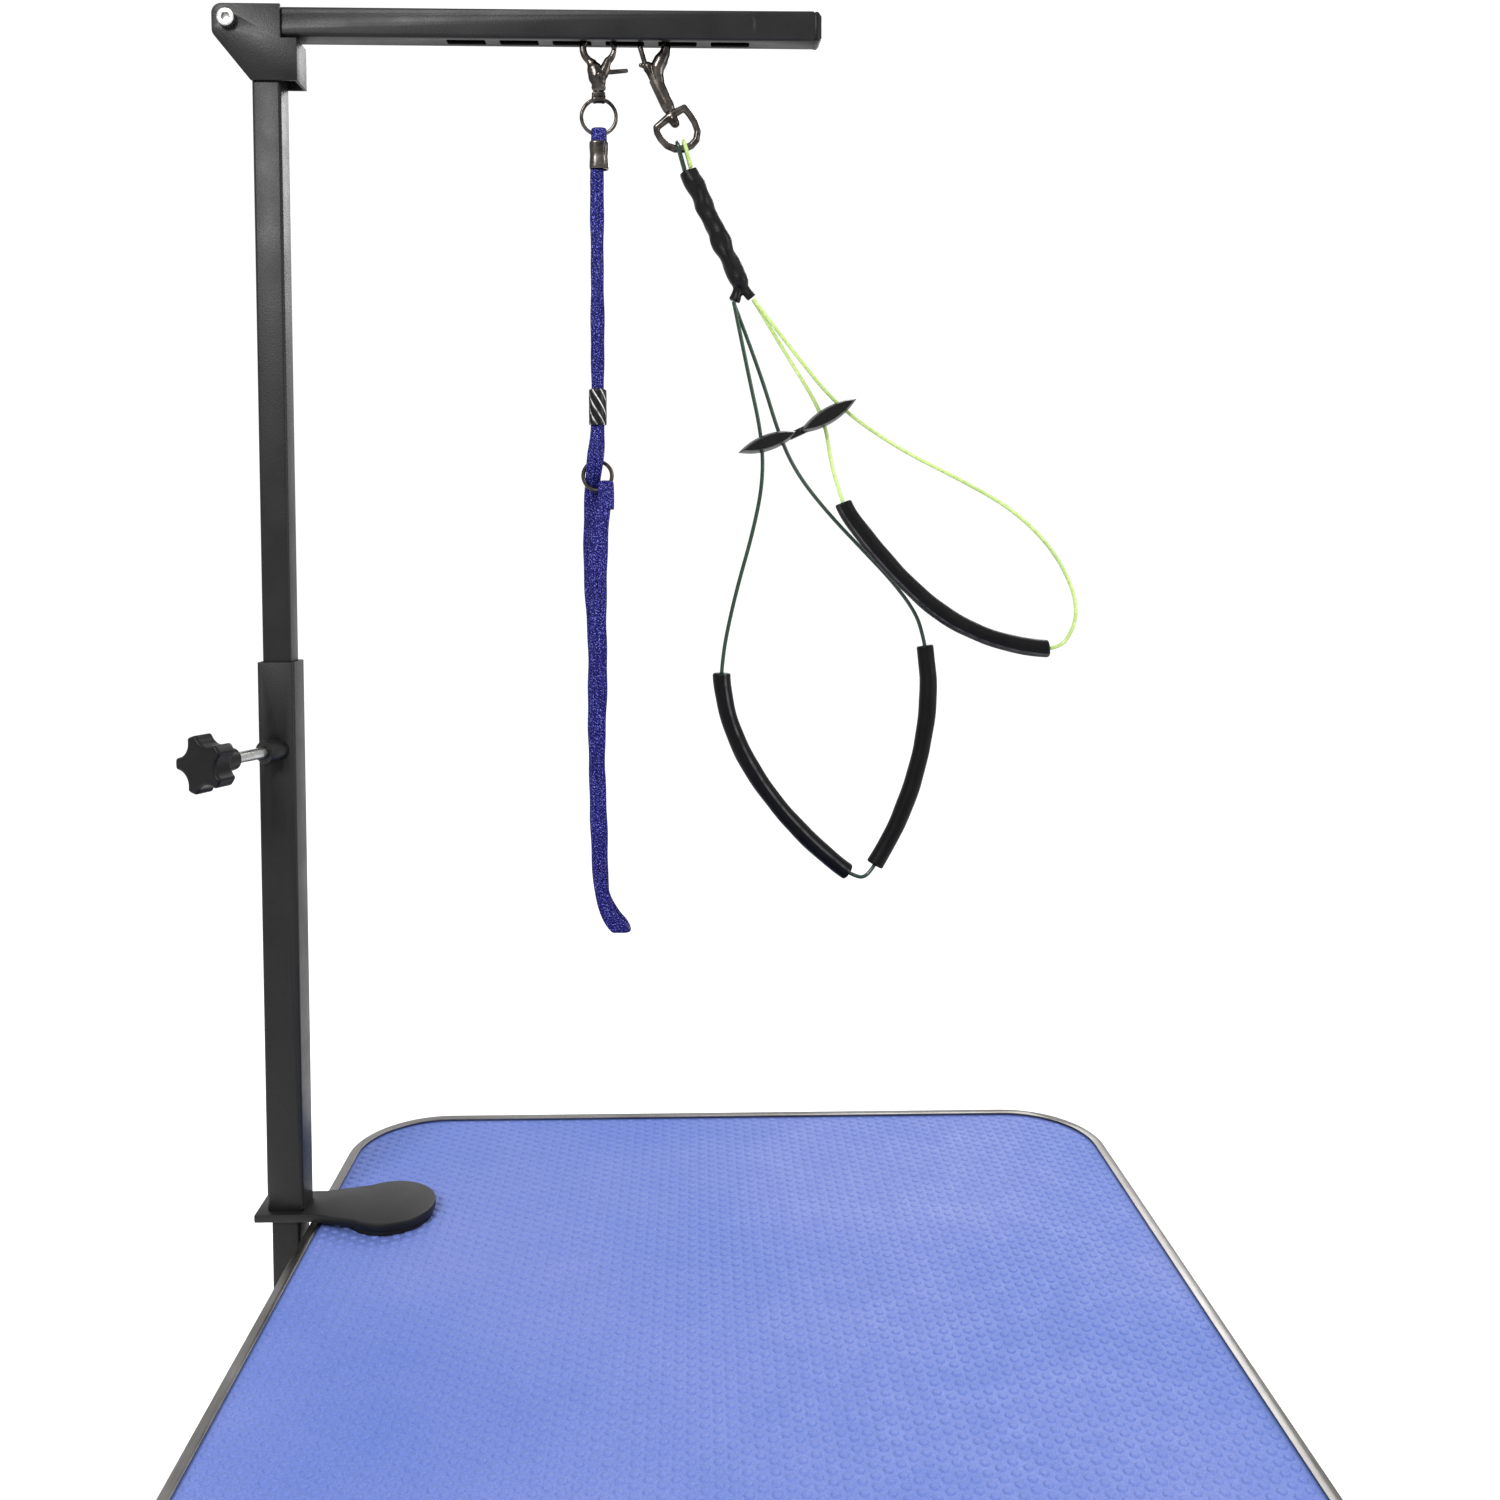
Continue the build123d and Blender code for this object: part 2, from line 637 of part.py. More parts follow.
def noose_slider():
    middle = TOP + 587.5
    sleeve = Pos(-96.1, ARM_Y + 0.1, middle - 12.6) * Cylinder(6.4, 25.2, align=BASE)
    sleeve -= Pos(-96.1, ARM_Y + 0.1, middle) * Cylinder(CORD_R + 1.0, 40)
    return {"noose_slider": sleeve}


# ---------------------------------------------------------------- bolt snap and harness
HOOK_R = 8.2
HOOK_WIRE = 2.2
HOOK_Z = ARM_BOTTOM - 1.3


def snap_place():
    return Pos(BAR_3_X, ARM_Y, TOP + HOOK_Z) * Rot(0, -SNAP_TILT, 0)


def bolt_snap():
    at = snap_place()
    hook = arc_wire(HOOK_R, HOOK_WIRE, -50, 225)
    shank = rod((5.3, 0, -6.3), (0.5, 0, -20), HOOK_WIRE)
    barrel = Pos(-6.5, 0, -31) * Cylinder(3.6, 17, align=BASE)
    web = block(-6.5, 1.6, -2.4, 2.4, -31, -17)
    collar = Pos(0, 0, -37) * Cylinder(4.6, 8, align=BASE)
    body = hook + shank + barrel + web + collar
    body -= Pos(-6.5, 0, -30) * Cylinder(2.06, 20, align=BASE)
    body -= block(-12, -6.5, -1.4, 1.4, -29, -13)
    body -= Pos(0, 0, -38) * Cylinder(2.05, 6.2, align=BASE)
    bolt = rod((-6.5, 0, -21), (-6.5, 0, -4.9), 2.0)
    thumb = rod((-12.4, 0, -18), (-6.5, 0, -18), 1.2)
    knob = rod((-13.6, 0, -18), (-12.2, 0, -18), 2.4)
    return {"harness_snap": at * body, "harness_snap_bolt": at * (bolt + thumb + knob)}


EYE_WIRE = 2.4
EYE_TOP = 43.0
EYE_BOTTOM = 73.5
EYE_HALF = 14.2


def harness_eye():
    """The snap's swivelling D-shaped eye: a straight bar at the top and a round bow below."""
    bow_r = EYE_HALF
    bow_z = -(EYE_BOTTOM - bow_r)
    bow = Pos(0, 0, bow_z) * arc_wire(bow_r, EYE_WIRE, 180, 180)
    left = rod((-bow_r, 0, bow_z), (-bow_r, 0, -EYE_TOP - 2), EYE_WIRE)
    right = rod((bow_r, 0, bow_z), (bow_r, 0, -EYE_TOP - 2), EYE_WIRE)
    bar = rod((-bow_r, 0, -EYE_TOP - 2), (bow_r, 0, -EYE_TOP - 2), EYE_WIRE)
    corners = [Pos(s * bow_r, 0, -EYE_TOP - 2) * Sphere(EYE_WIRE) for s in (-1, 1)]
    stem = rod((0, 0, -EYE_TOP - 2), (0, 0, -32), 2.0)
    collar = Pos(0, 0, -EYE_TOP) * Cylinder(4.2, 5.6, align=BASE)
    eye = fuse([bow, left, right, bar, stem, collar] + corners)
    return snap_place() * eye


def light_cable_points():
    """The light cable: down to the slide plate, out round the wide loop, back by the pad."""
    return [
        (14.6, -1.7, 664.0),
        (43.0, -2.6, 627.0),
        (74.6, -4.0, 588.0),
        (119.0, -6.0, 557.5),
        (161.0, -7.0, 537.0),
        (199.0, -7.0, 516.0),
        (228.0, -6.0, 489.0),
        (245.0, -5.0, 459.0),
        (248.4, -4.5, 437.0),
        (240.5, -4.2, 419.5),
        (232.0, -4.0, 415.5),
        (223.0, -4.0, 414.5),
        (188.0, -4.0, 421.0),
        (153.0, -4.0, 437.5),
        (125.0, -4.0, 461.5),
        (102.0, -4.0, 486.5),
        (81.0, -2.6, 513.5),
        (76.6, -2.0, 527.0),
        (70.6, 0.0, 547.0),
        (65.6, 2.4, 582.0),
        (40.0, 2.2, 623.0),
        (14.6, 1.7, 664.0),
    ]


def dark_cable_points():
    """The dark cable: through the slide plate, round the two pads and back behind the other."""
    return [
        (0.6, -1.7, 662.0),
        (10.5, -2.2, 613.0),
        (20.6, -2.6, 568.0),
        (21.6, -3.0, 535.0),
        (14.4, -3.0, 499.0),
        (3.0, -3.0, 459.0),
        (-5.0, -3.0, 424.0),
        (-7.8, -3.0, 403.0),
        (-8.2, -3.0, 392.0),
        (-3.6, -3.0, 365.0),
        (9.5, -3.0, 334.0),
        (30.5, -3.0, 303.0),
        (55.5, -3.0, 275.5),
        (80.0, -2.0, 254.5),
        (87.5, -1.2, 249.8),
        (95.5, 0.0, 247.2),
        (101.8, 1.4, 253.4),
        (105.4, 2.0, 259.8),
        (118.0, 3.0, 281.0),
        (131.5, 3.0, 315.0),
        (140.0, 3.0, 352.0),
        (143.0, 4.0, 385.0),
        (140.8, 6.0, 411.0),
        (139.0, 6.6, 422.0),
        (134.0, 9.0, 440.0),
        (117.0, 11.0, 463.0),
        (93.0, 11.0, 488.0),
        (68.0, 9.0, 514.0),
        (47.0, 5.6, 540.0),
        (34.0, 3.4, 566.0),
        (19.0, 2.4, 615.0),
        (0.6, 1.7, 662.0),
    ]


def pad_tube(points, first, last):
    """A foam tube on the cable, from the middle of run first to the middle of run last."""
    radii = corner_radii(points)
    start = (Vector(*points[first]) + Vector(*points[first + 1])) / 2
    end = (Vector(*points[last]) + Vector(*points[last + 1])) / 2
    stretch = [tuple(start)] + points[first + 1:last + 1] + [tuple(end)]
    inner_radii = radii[first:last]
    foam = cord_tube(stretch, LOOP_PAD_R, inner_radii)[0]
    hole = cord_tube(stretch, CABLE_R + PAD_BORE_GAP, inner_radii)[0]
    return foam - hole


def slide_plate(cables):
    """Two joined lens-shaped discs, each bored for both strands of one cable."""
    left = ((4.0, 555.5), (47.0, 570.5))
    right = ((47.0, 569.5), (88.5, 594.0))
    discs = []
    for (x0, z0), (x1, z1) in (left, right):
        half = math.hypot(x1 - x0, z1 - z0) / 2
        tilt = math.degrees(math.atan2(z1 - z0, x1 - x0))
        dome = (half ** 2 + LENS_HALF_T ** 2) / (2 * LENS_HALF_T)
        offset = dome - LENS_HALF_T
        lens = Pos(0, 0, offset) * Sphere(dome) & Pos(0, 0, -offset) * Sphere(dome)
        middle = ((x0 + x1) / 2, ARM_Y, TOP + (z0 + z1) / 2)
        discs.append(Pos(*middle) * Rot(0, -tilt, 0) * lens)
    neck = Pos(47, ARM_Y, TOP + 570) * Rot(0, -25, 0) * Box(14, 12, 5)
    depth = LENS_HALF_DEPTH
    slab = block(0, 95, ARM_Y - depth, ARM_Y + depth, TOP + 530, TOP + 620)
    plate = fuse(discs + [neck]) & slab
    for cable in cables:
        plate -= cable
    return max(plate.solids(), key=lambda s: s.volume)


def harness():
    nodes = {"harness_eye": harness_eye()}
    light = place_points(light_cable_points())
    dark = place_points(dark_cable_points())
    bores = []
    for name, points in (("light", light), ("dark", dark)):
        tube, length = cord_tube(points, CABLE_R)
        report_cord(f"harness_{name}_cable", points, tube, length, CABLE_R)
        nodes[f"harness_{name}_cable"] = tube
        bores.append(cord_tube(points, CABLE_R + 0.5)[0])
    nodes["harness_pad_a"] = pad_tube(light, 10, 16)
    nodes["harness_pad_b"] = pad_tube(dark, 7, 13)
    nodes["harness_pad_c"] = pad_tube(dark, 16, 22)
    nodes["harness_slide_plate"] = slide_plate(bores)
    sleeve = harness_sleeve()
    for name, fold in harness_bights().items():
        nodes[name] = fold - sleeve
    nodes["harness_sleeve"] = sleeve
    return nodes


SLEEVE_TOP = (-31.5, 0.0, 754.0)
SLEEVE_FORK = (5.0, 0.0, 676.0)
LIGHT_FORK = (14.6, 0.0, 664.0)
DARK_FORK = (0.6, 0.0, 662.0)


def harness_sleeve():
    """The heat-shrink sleeve over all the strands, forked at the bottom."""
    top, fork, light, dark = place_points([SLEEVE_TOP, SLEEVE_FORK, LIGHT_FORK, DARK_FORK])
    trunk = rod(top, fork, SLEEVE_R)
    pieces = [trunk, Pos(*fork) * Sphere(SLEEVE_R)]
    for end in (light, dark):
        gap = (Vector(*fork) - Vector(*end)).normalized() * 1.0
        pieces.append(rod(fork, tuple(Vector(*end) + gap), SLEEVE_LEG_R))
    return fuse(pieces)


def harness_bights():
    """The two cables' folds over the bottom of the snap's eye."""
    nodes = {}
    top = Vector(*place_points([SLEEVE_TOP])[0])
    eye_low = (snap_place() * Pos(0, 0, -EYE_BOTTOM)).position
    down = (top - eye_low).normalized()
    across = Vector(0, 1, 0).cross(down)
    turn = EYE_WIRE + CABLE_R + 0.55
    for name, shift in (("light", -2.4), ("dark", 2.4)):
        centre = eye_low + across * shift
        frame = Plane(origin=centre, x_dir=(0, 1, 0), z_dir=across)
        fold = frame * Torus(turn, CABLE_R, major_angle=180, align=None)
        if (fold.center() - centre).dot(down) > 0:
            fold = frame * Rot(0, 0, 180) * Torus(turn, CABLE_R, major_angle=180, align=None)
        reach = (top - eye_low).dot(down)
        pieces = [fold]
        for sign in (-1, 1):
            start = centre + Vector(0, sign * turn, 0)
            pieces.append(rod(tuple(start), tuple(start + down * reach), CABLE_R))
        nodes[f"harness_{name}_bight"] = fuse(pieces)
    return nodes


# ---------------------------------------------------------------- write the parts
def all_nodes():
    nodes = {}
    nodes.update(table_top())
    nodes.update(under_frame())
    nodes.update(hinges())
    nodes.update(leg_frame("front", -1, FRONT_DROP))
    nodes.update(leg_frame("rear", 1, REAR_DROP))
    nodes.update(clamp_and_post())
    nodes.update(clamp_screw())
    nodes.update(lock_screw())
    nodes.update(mast())
    nodes.update(top_arm())
    nodes.update(noose_snap())
    nodes.update(noose())
    nodes.update(noose_slider())
    nodes.update(bolt_snap())
    nodes.update(harness())
    return nodes


os.makedirs("parts", exist_ok=True)
for node, shape in all_nodes().items():
    export_step(Pos(TABLE_X, 0, 0) * shape, f"parts/{node}.step")
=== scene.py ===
import json
import math

import bmesh
import bpy
import numpy as np
from mathutils import Matrix, Vector, noise


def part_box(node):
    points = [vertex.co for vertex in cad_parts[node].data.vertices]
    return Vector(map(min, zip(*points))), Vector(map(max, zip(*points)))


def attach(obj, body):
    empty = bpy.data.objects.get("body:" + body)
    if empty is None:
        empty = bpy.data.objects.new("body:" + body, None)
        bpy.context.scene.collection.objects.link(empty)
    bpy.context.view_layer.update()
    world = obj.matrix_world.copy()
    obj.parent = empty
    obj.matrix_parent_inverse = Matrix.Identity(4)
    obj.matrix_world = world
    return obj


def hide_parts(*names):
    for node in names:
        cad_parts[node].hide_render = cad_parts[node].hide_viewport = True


# Looks for the folding grooming table. Metres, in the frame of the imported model.

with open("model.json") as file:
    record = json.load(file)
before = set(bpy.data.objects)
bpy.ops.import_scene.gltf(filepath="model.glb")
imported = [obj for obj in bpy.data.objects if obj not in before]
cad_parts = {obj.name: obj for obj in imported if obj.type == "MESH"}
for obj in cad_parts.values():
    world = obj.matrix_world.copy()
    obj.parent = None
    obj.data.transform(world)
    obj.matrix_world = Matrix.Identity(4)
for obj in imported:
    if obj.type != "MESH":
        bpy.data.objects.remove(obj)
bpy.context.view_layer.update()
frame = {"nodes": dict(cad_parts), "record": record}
NODES = frame["nodes"]
SLOTS = {part["node"]: part["material_slot"] for part in frame["record"]["subparts"]}
BODIES = {
    node: body
    for body, nodes in frame["record"]["behaviour"]["bodies"].items() for node in nodes
}

MM = 0.001

MAT_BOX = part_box("top_mat")
POST_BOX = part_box("outer_post")
ARM_LINE_Y = (POST_BOX[0][1] + POST_BOX[1][1]) / 2
TABLE_TOP = MAT_BOX[1][2]
TABLE_X = (MAT_BOX[0][0] + MAT_BOX[1][0]) / 2


# ---------------------------------------------------------------- materials
def rgb(red, green, blue):
    """Linear colour from screen values of 0 to 255."""
    out = []
    for value in (red, green, blue):
        c = value / 255
        out.append(c / 12.92 if c <= 0.04045 else ((c + 0.055) / 1.055) ** 2.4)
    return (*out, 1.0)


RANGE_SOCKETS = ("From Min", "From Max", "To Min", "To Max")


class Shader:
    """A Principled material with the object's own coordinates."""

    def __init__(self, name, roughness=0.5, **sockets):
        self.material = bpy.data.materials.new(name)
        self.material.use_nodes = True
        self.tree = self.material.node_tree
        self.out = self.tree.nodes["Principled BSDF"]
        self.out.inputs["Roughness"].default_value = roughness
        for socket, value in sockets.items():
            self.out.inputs[socket.replace("_", " ")].default_value = value
        self.coords = self.tree.nodes.new("ShaderNodeTexCoord").outputs["Object"]
        self.normal = None

    def node(self, kind, **settings):
        made = self.tree.nodes.new(kind)
        for key, value in settings.items():
            setattr(made, key, value)
        return made

    def link(self, a, b):
        self.tree.links.new(a, b)

    def scaled(self, scale):
        mapping = self.node("ShaderNodeMapping")
        mapping.inputs["Scale"].default_value = scale
        self.link(self.coords, mapping.inputs["Vector"])
        return mapping.outputs["Vector"]

    def noise(self, scale, detail=3.0, rough=0.55, stretch=(1, 1, 1)):
        made = self.node("ShaderNodeTexNoise")
        made.inputs["Scale"].default_value = scale
        made.inputs["Detail"].default_value = detail
        made.inputs["Roughness"].default_value = rough
        self.link(self.scaled(stretch), made.inputs["Vector"])
        return made.outputs["Fac"]

    def cells(self, scale):
        made = self.node("ShaderNodeTexVoronoi")
        made.inputs["Scale"].default_value = scale
        self.link(self.scaled((1, 1, 1)), made.inputs["Vector"])
        return made.outputs["Distance"]

    def attribute(self, name):
        return self.node("ShaderNodeAttribute", attribute_name=name).outputs["Fac"]

    def ramp(self, value, *stops):
        made = self.node("ShaderNodeValToRGB")
        line = made.color_ramp.elements
        while len(line) < len(stops):
            line.new(0.5)
        for element, (place, colour) in zip(line, stops):
            element.position = place
            element.color = colour
        self.link(value, made.inputs["Fac"])
        return made.outputs["Color"]

    def mix(self, fac, a, b, blend="MIX"):
        made = self.node("ShaderNodeMix", data_type="RGBA", blend_type=blend)
        if isinstance(fac, float):
            made.inputs["Factor"].default_value = fac
        else:
            self.link(fac, made.inputs["Factor"])
        colour_a, colour_b = made.inputs[6], made.inputs[7]
        for socket, value in ((colour_a, a), (colour_b, b)):
            if isinstance(value, tuple):
                socket.default_value = value
            else:
                self.link(value, socket)
        return made.outputs[2]

    def span(self, value, low, high, start=0.0, end=1.0):
        made = self.node("ShaderNodeMapRange")
        for socket, number in zip(RANGE_SOCKETS, (start, end, low, high)):
            made.inputs[socket].default_value = number
        self.link(value, made.inputs["Value"])
        return made.outputs["Result"]

    def colour(self, value):
        self.link(value, self.out.inputs["Base Color"])

    def roughness(self, value, low, high, start=0.3, end=0.7):
        self.link(self.span(value, low, high, start, end), self.out.inputs["Roughness"])

    def bump(self, value, distance, strength=1.0):
        made = self.node("ShaderNodeBump")
        made.inputs["Distance"].default_value = distance
        made.inputs["Strength"].default_value = strength
        self.link(value, made.inputs["Height"])
        if self.normal is not None:
            self.link(self.normal, made.inputs["Normal"])
        self.normal = made.outputs["Normal"]
        self.link(self.normal, self.out.inputs["Normal"])


def mat_rubber():
    s = Shader("mat", roughness=0.55, Specular_IOR_Level=0.22)
    wide = s.noise(5.0, 4.0)
    base = s.ramp(wide, (0.3, rgb(86, 108, 174)), (0.7, rgb(104, 118, 178)))
    fine = s.noise(900.0, 2.0)
    speck = s.ramp(fine, (0.25, rgb(214, 214, 220)), (0.75, rgb(255, 255, 255)))
    s.colour(s.mix(1.0, base, speck, "MULTIPLY"))
    s.roughness(s.noise(60.0, 3.0), 0.46, 0.62)
    s.bump(s.noise(1400.0, 2.0), 0.00012, 0.7)
    return s.material


def board_laminate():
    s = Shader("board", roughness=0.5)
    grain = s.noise(60.0, 4.0, stretch=(6, 1, 6))
    s.colour(s.ramp(grain, (0.3, rgb(30, 30, 32)), (0.7, rgb(50, 50, 52))))
    s.roughness(grain, 0.42, 0.58)
    s.bump(s.noise(1500.0, 2.0), 0.0001, 0.6)
    return s.material


def trim_aluminium():
    s = Shader("trim", roughness=0.34, Metallic=1.0)
    drawn = s.noise(30.0, 3.0, stretch=(60, 1.2, 60))
    patch = s.noise(14.0, 4.0)
    tone = s.ramp(drawn, (0.25, rgb(104, 102, 100)), (0.75, rgb(138, 136, 134)))
    wear_and_painted_highlight = s.ramp(patch, (0.35, rgb(210, 208, 205)), (0.65, rgb(255, 255, 255)))
    s.colour(s.mix(1.0, tone, wear_and_painted_highlight, "MULTIPLY"))
    s.roughness(drawn, 0.26, 0.42)
    s.bump(s.noise(900.0, 2.0, stretch=(1, 0.05, 1)), 0.00005, 0.5)
    return s.material


def powder_coat():
    s = Shader("black_steel", roughness=0.42, Specular_IOR_Level=0.24)
    cloud = s.noise(35.0, 5.0)
    grain = s.noise(1500.0, 3.0)
    base = s.ramp(cloud, (0.3, rgb(15, 15, 16)), (0.7, rgb(23, 23, 23)))
    fleck = s.ramp(grain, (0.3, rgb(196, 196, 196)), (0.72, rgb(255, 255, 255)))
    scuffs = s.noise(70.0, 6.0, 0.7, stretch=(1, 1, 0.25))
    wear_and_painted_highlight = s.span(scuffs, 0.0, 1.0, 0.68, 0.76)
    s.colour(s.mix(wear_and_painted_highlight, s.mix(1.0, base, fleck, "MULTIPLY"), rgb(52, 52, 52)))
    s.roughness(cloud, 0.36, 0.48)
    s.bump(s.noise(700.0, 2.0), 0.00022, 0.5)
    s.bump(grain, 0.0001, 0.6)
    return s.material


def plated(name, dark, light, rough, scratch=0.4):
    s = Shader(name, roughness=rough, Metallic=1.0)
    s.colour(s.ramp(s.noise(110.0, 4.0), (0.3, dark), (0.7, light)))
    s.roughness(s.noise(300.0, 4.0), rough * 0.8, rough * 1.3)
    s.bump(s.noise(500.0, 3.0), 0.00003, scratch)
    return s.material


def moulded(name, dark, light, rough, grain=1800.0, depth=0.00015):
    s = Shader(name, roughness=rough, Specular_IOR_Level=0.16)
    s.colour(s.ramp(s.noise(90.0, 4.0), (0.3, dark), (0.7, light)))
    s.roughness(s.noise(240.0, 3.0), rough * 0.85, rough * 1.15)
    s.bump(s.noise(grain, 3.0), depth, 0.6)
    return s.material


def cord_braid():
    """Yarn colours by the height of each pick, which the mesh holds as an attribute: the yarn's own blue,
    with painted shade down between the strands and a painted highlight on the crown of each pick.
    """
    s = Shader("blue_cord", roughness=0.6, Specular_IOR_Level=0.1)
    pick = s.attribute("pick")
    # painted shade in the gaps between strands and a painted highlight on each pick's crown, set by the
    # pick's height
    yarn_with_painted_light = s.ramp(
        pick, (0.34, rgb(1, 1, 9)), (0.7, rgb(5, 4, 56)), (0.92, rgb(15, 13, 96)), (1.0, rgb(74, 74, 176))
    )
    fleck = s.span(s.noise(1300.0, 2.0), 0.0, 1.0, 0.6, 0.66)
    lit = s.mix(fleck, yarn_with_painted_light, rgb(128, 130, 214))
    s.colour(s.mix(s.span(s.noise(45.0, 3.0), 0.0, 0.16, 0.35, 0.65), lit, rgb(6, 5, 52)))
    s.roughness(s.noise(900.0, 2.0), 0.5, 0.72)
    s.bump(s.noise(5200.0, 2.0), 0.0001, 0.8)
    return s.material


def cable_vinyl(name, deep, body, light):
    """Clear coated wire rope: its twist shows faintly through the glossy coat."""
    s = Shader(name, roughness=0.2, Specular_IOR_Level=0.5)
    lay = s.noise(420.0, 2.0)
    long = s.noise(22.0, 3.0)
    base = s.ramp(lay, (0.2, body), (0.8, light))
    s.colour(s.mix(s.span(long, 0.0, 0.5, 0.4, 0.75), base, deep))
    s.roughness(lay, 0.16, 0.28)
    s.bump(lay, 0.00003, 0.5)
    return s.material


def foam_rubber():
    s = Shader("foam", roughness=0.42, Specular_IOR_Level=0.1)
    black = s.ramp(s.noise(70.0, 4.0), (0.3, rgb(3, 3, 4)), (0.7, rgb(8, 8, 9)))
    # painted highlight: a broken light grey line along the moulding seam's ridge, where it would catch the
    # light; elsewhere the foam keeps its own black
    broken = s.span(s.noise(120.0, 3.0), 0.25, 1.0, 0.35, 0.6)
    seam = s.ramp(s.attribute("pick"), (0.35, rgb(0, 0, 0)), (0.9, rgb(190, 190, 190)))
    wear_and_painted_highlight = s.mix(broken, black, rgb(96, 96, 98))
    s.colour(s.mix(seam, black, wear_and_painted_highlight))
    s.roughness(s.noise(150.0, 3.0), 0.34, 0.55)
    s.bump(s.noise(260.0, 3.0), 0.0003, 0.35)
    s.bump(s.cells(1500.0), 0.00015, 0.5)
    return s.material


def crimped_sleeve():
    """Black sleeve whose crimped grooves have worn to bare metal."""
    s = Shader("crimped_sleeve", roughness=0.3, Specular_IOR_Level=0.2)
    groove = s.attribute("pick")
    rubbed = s.span(s.noise(260.0, 3.0), 0.2, 1.0, 0.35, 0.6)
    metal = s.mix(rubbed, rgb(60, 60, 60), rgb(205, 205, 202))
    black = s.ramp(s.noise(160.0, 3.0), (0.3, rgb(4, 4, 5)), (0.7, rgb(12, 12, 13)))
    s.colour(s.mix(s.span(groove, 0.0, 1.0, 0.35, 0.8), black, metal))
    s.bump(s.noise(900.0, 2.0), 0.0001, 0.5)
    return s.material


def shrink_tube():
    s = Shader("shrink_sleeve", roughness=0.34, Specular_IOR_Level=0.14)
    s.colour(s.ramp(s.noise(80.0, 4.0), (0.3, rgb(4, 4, 5)), (0.7, rgb(12, 12, 13))))
    s.roughness(s.noise(180.0, 3.0), 0.26, 0.5)
    s.bump(s.noise(420.0, 4.0), 0.0004, 0.5)
    return s.material


MATERIALS = {
    "mat": mat_rubber(),
    "board": board_laminate(),
    "trim": trim_aluminium(),
    "black_steel": powder_coat(),
    "zinc": plated("zinc", rgb(150, 150, 148), rgb(190, 190, 188), 0.3),
    "brass": plated("brass", rgb(160, 128, 70), rgb(202, 170, 100), 0.32),
    "nickel": plated("nickel", rgb(24, 22, 21), rgb(92, 87, 83), 0.2),
    "black_plastic": moulded("black_plastic", rgb(4, 4, 5), rgb(11, 11, 12), 0.36),
    "black_rubber": moulded("black_rubber", rgb(12, 12, 12), rgb(22, 22, 22), 0.6, 1200.0, 0.0003),
    "blue_cord": cord_braid(),
    "light_cable": cable_vinyl("light_cable", rgb(104, 130, 66), rgb(150, 176, 92), rgb(188, 210, 136)),
    "dark_cable": cable_vinyl("dark_cable", rgb(4, 14, 9), rgb(5, 34, 19), rgb(12, 54, 32)),
    "foam": foam_rubber(),
    "shrink_sleeve": shrink_tube(),
}

for node, cad in NODES.items():
    cad.data.materials.clear()
    cad.data.materials.append(MATERIALS[SLOTS[node]])


# ---------------------------------------------------------------- mesh helpers
def link_object(made):
    bpy.context.scene.collection.objects.link(made)
    return made


def finish_piece(piece, node, slot):
    """Give a piece its slot's material and its body, and hide the CAD node it stands for."""
    piece.data.materials.clear()
    piece.data.materials.append(MATERIALS[slot])
    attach(piece, BODIES[node])
    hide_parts(node)
    return piece


def store_pick(piece, values):
    """Keep one number per vertex for the materials to read."""
    held = piece.data.attributes.new("pick", "FLOAT", "POINT")
    held.data.foreach_set("value", values)


def mesh_object(name, points, faces, smooth=True):
    mesh = bpy.data.meshes.new(name)
    mesh.from_pydata([tuple(p) for p in points], [], faces)
    mesh.validate()
    mesh.update()
    mesh.polygons.foreach_set("use_smooth", [smooth] * len(mesh.polygons))
    return link_object(bpy.data.objects.new(name, mesh))


def smooth_by_angle(mesh, degrees):
    """Smooth faces, with edges over this angle kept sharp."""
    bm = bmesh.new()
    bm.from_mesh(mesh)
    for face in bm.faces:
        face.smooth = True
    for edge in bm.edges:
        edge.smooth = len(edge.link_faces) == 2 and edge.calc_face_angle() < math.radians(degrees)
    bm.to_mesh(mesh)
    bm.free()


def clean_copy(node):
    """The CAD node's shape as a welded bmesh with its flat faces whole."""
    bm = bmesh.new()
    bm.from_mesh(NODES[node].data)
    bmesh.ops.remove_doubles(bm, verts=bm.verts, dist=0.00002)
    bmesh.ops.dissolve_limit(bm, angle_limit=math.radians(1), verts=bm.verts, edges=bm.edges)
    return bm


def mesh_from(bm, name):
    mesh = bpy.data.meshes.new(name)
    bm.to_mesh(mesh)
    bm.free()
    return link_object(bpy.data.objects.new(name, mesh))


def sharp_edges(bm, degrees=30):
    limit = math.radians(degrees)
    return [e for e in bm.edges if len(e.link_faces) == 2 and e.calc_face_angle() > limit]


def bevel_edges(bm, edges, width, segments):
    if edges:
        bmesh.ops.bevel(
            bm, geom=edges, offset=width, segments=segments, profile=0.5,
            affect="EDGES", clamp_overlap=True,
        )


def soften(node, corner=0.0, edge=0.4 * MM, long_edge=0.05):
    """The node with rolled long corners and broken edges, as a folded or welded part has."""
    bm = clean_copy(node)
    low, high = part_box(node)
    if corner:
        outer = []
        for e in sharp_edges(bm):
            a, b = (v.co for v in e.verts)
            sides = sum(
                abs(a[k] - b[k]) < 1e-5 and min(abs(a[k] - low[k]), abs(a[k] - high[k])) < 1e-4
                for k in range(3)
            )
            if (a - b).length > long_edge and sides >= 2:
                outer.append(e)
        bevel_edges(bm, outer, corner, 4)
    bevel_edges(bm, sharp_edges(bm, 35), edge, 2)
    piece = mesh_from(bm, node + "_finish")
    smooth_by_angle(piece.data, 35)
    finish_piece(piece, node, SLOTS[node])


def cone_between(bm, a, b, r0, r1, sides):
    """A cone or cylinder from one point to another, added to a bmesh."""
    turn = Vector((0, 0, 1)).rotation_difference(b - a).to_matrix().to_4x4()
    bmesh.ops.create_cone(
        bm, cap_ends=True, segments=sides, radius1=r0, radius2=r1, depth=(b - a).length,
        matrix=Matrix.Translation((a + b) / 2) @ turn,
    )


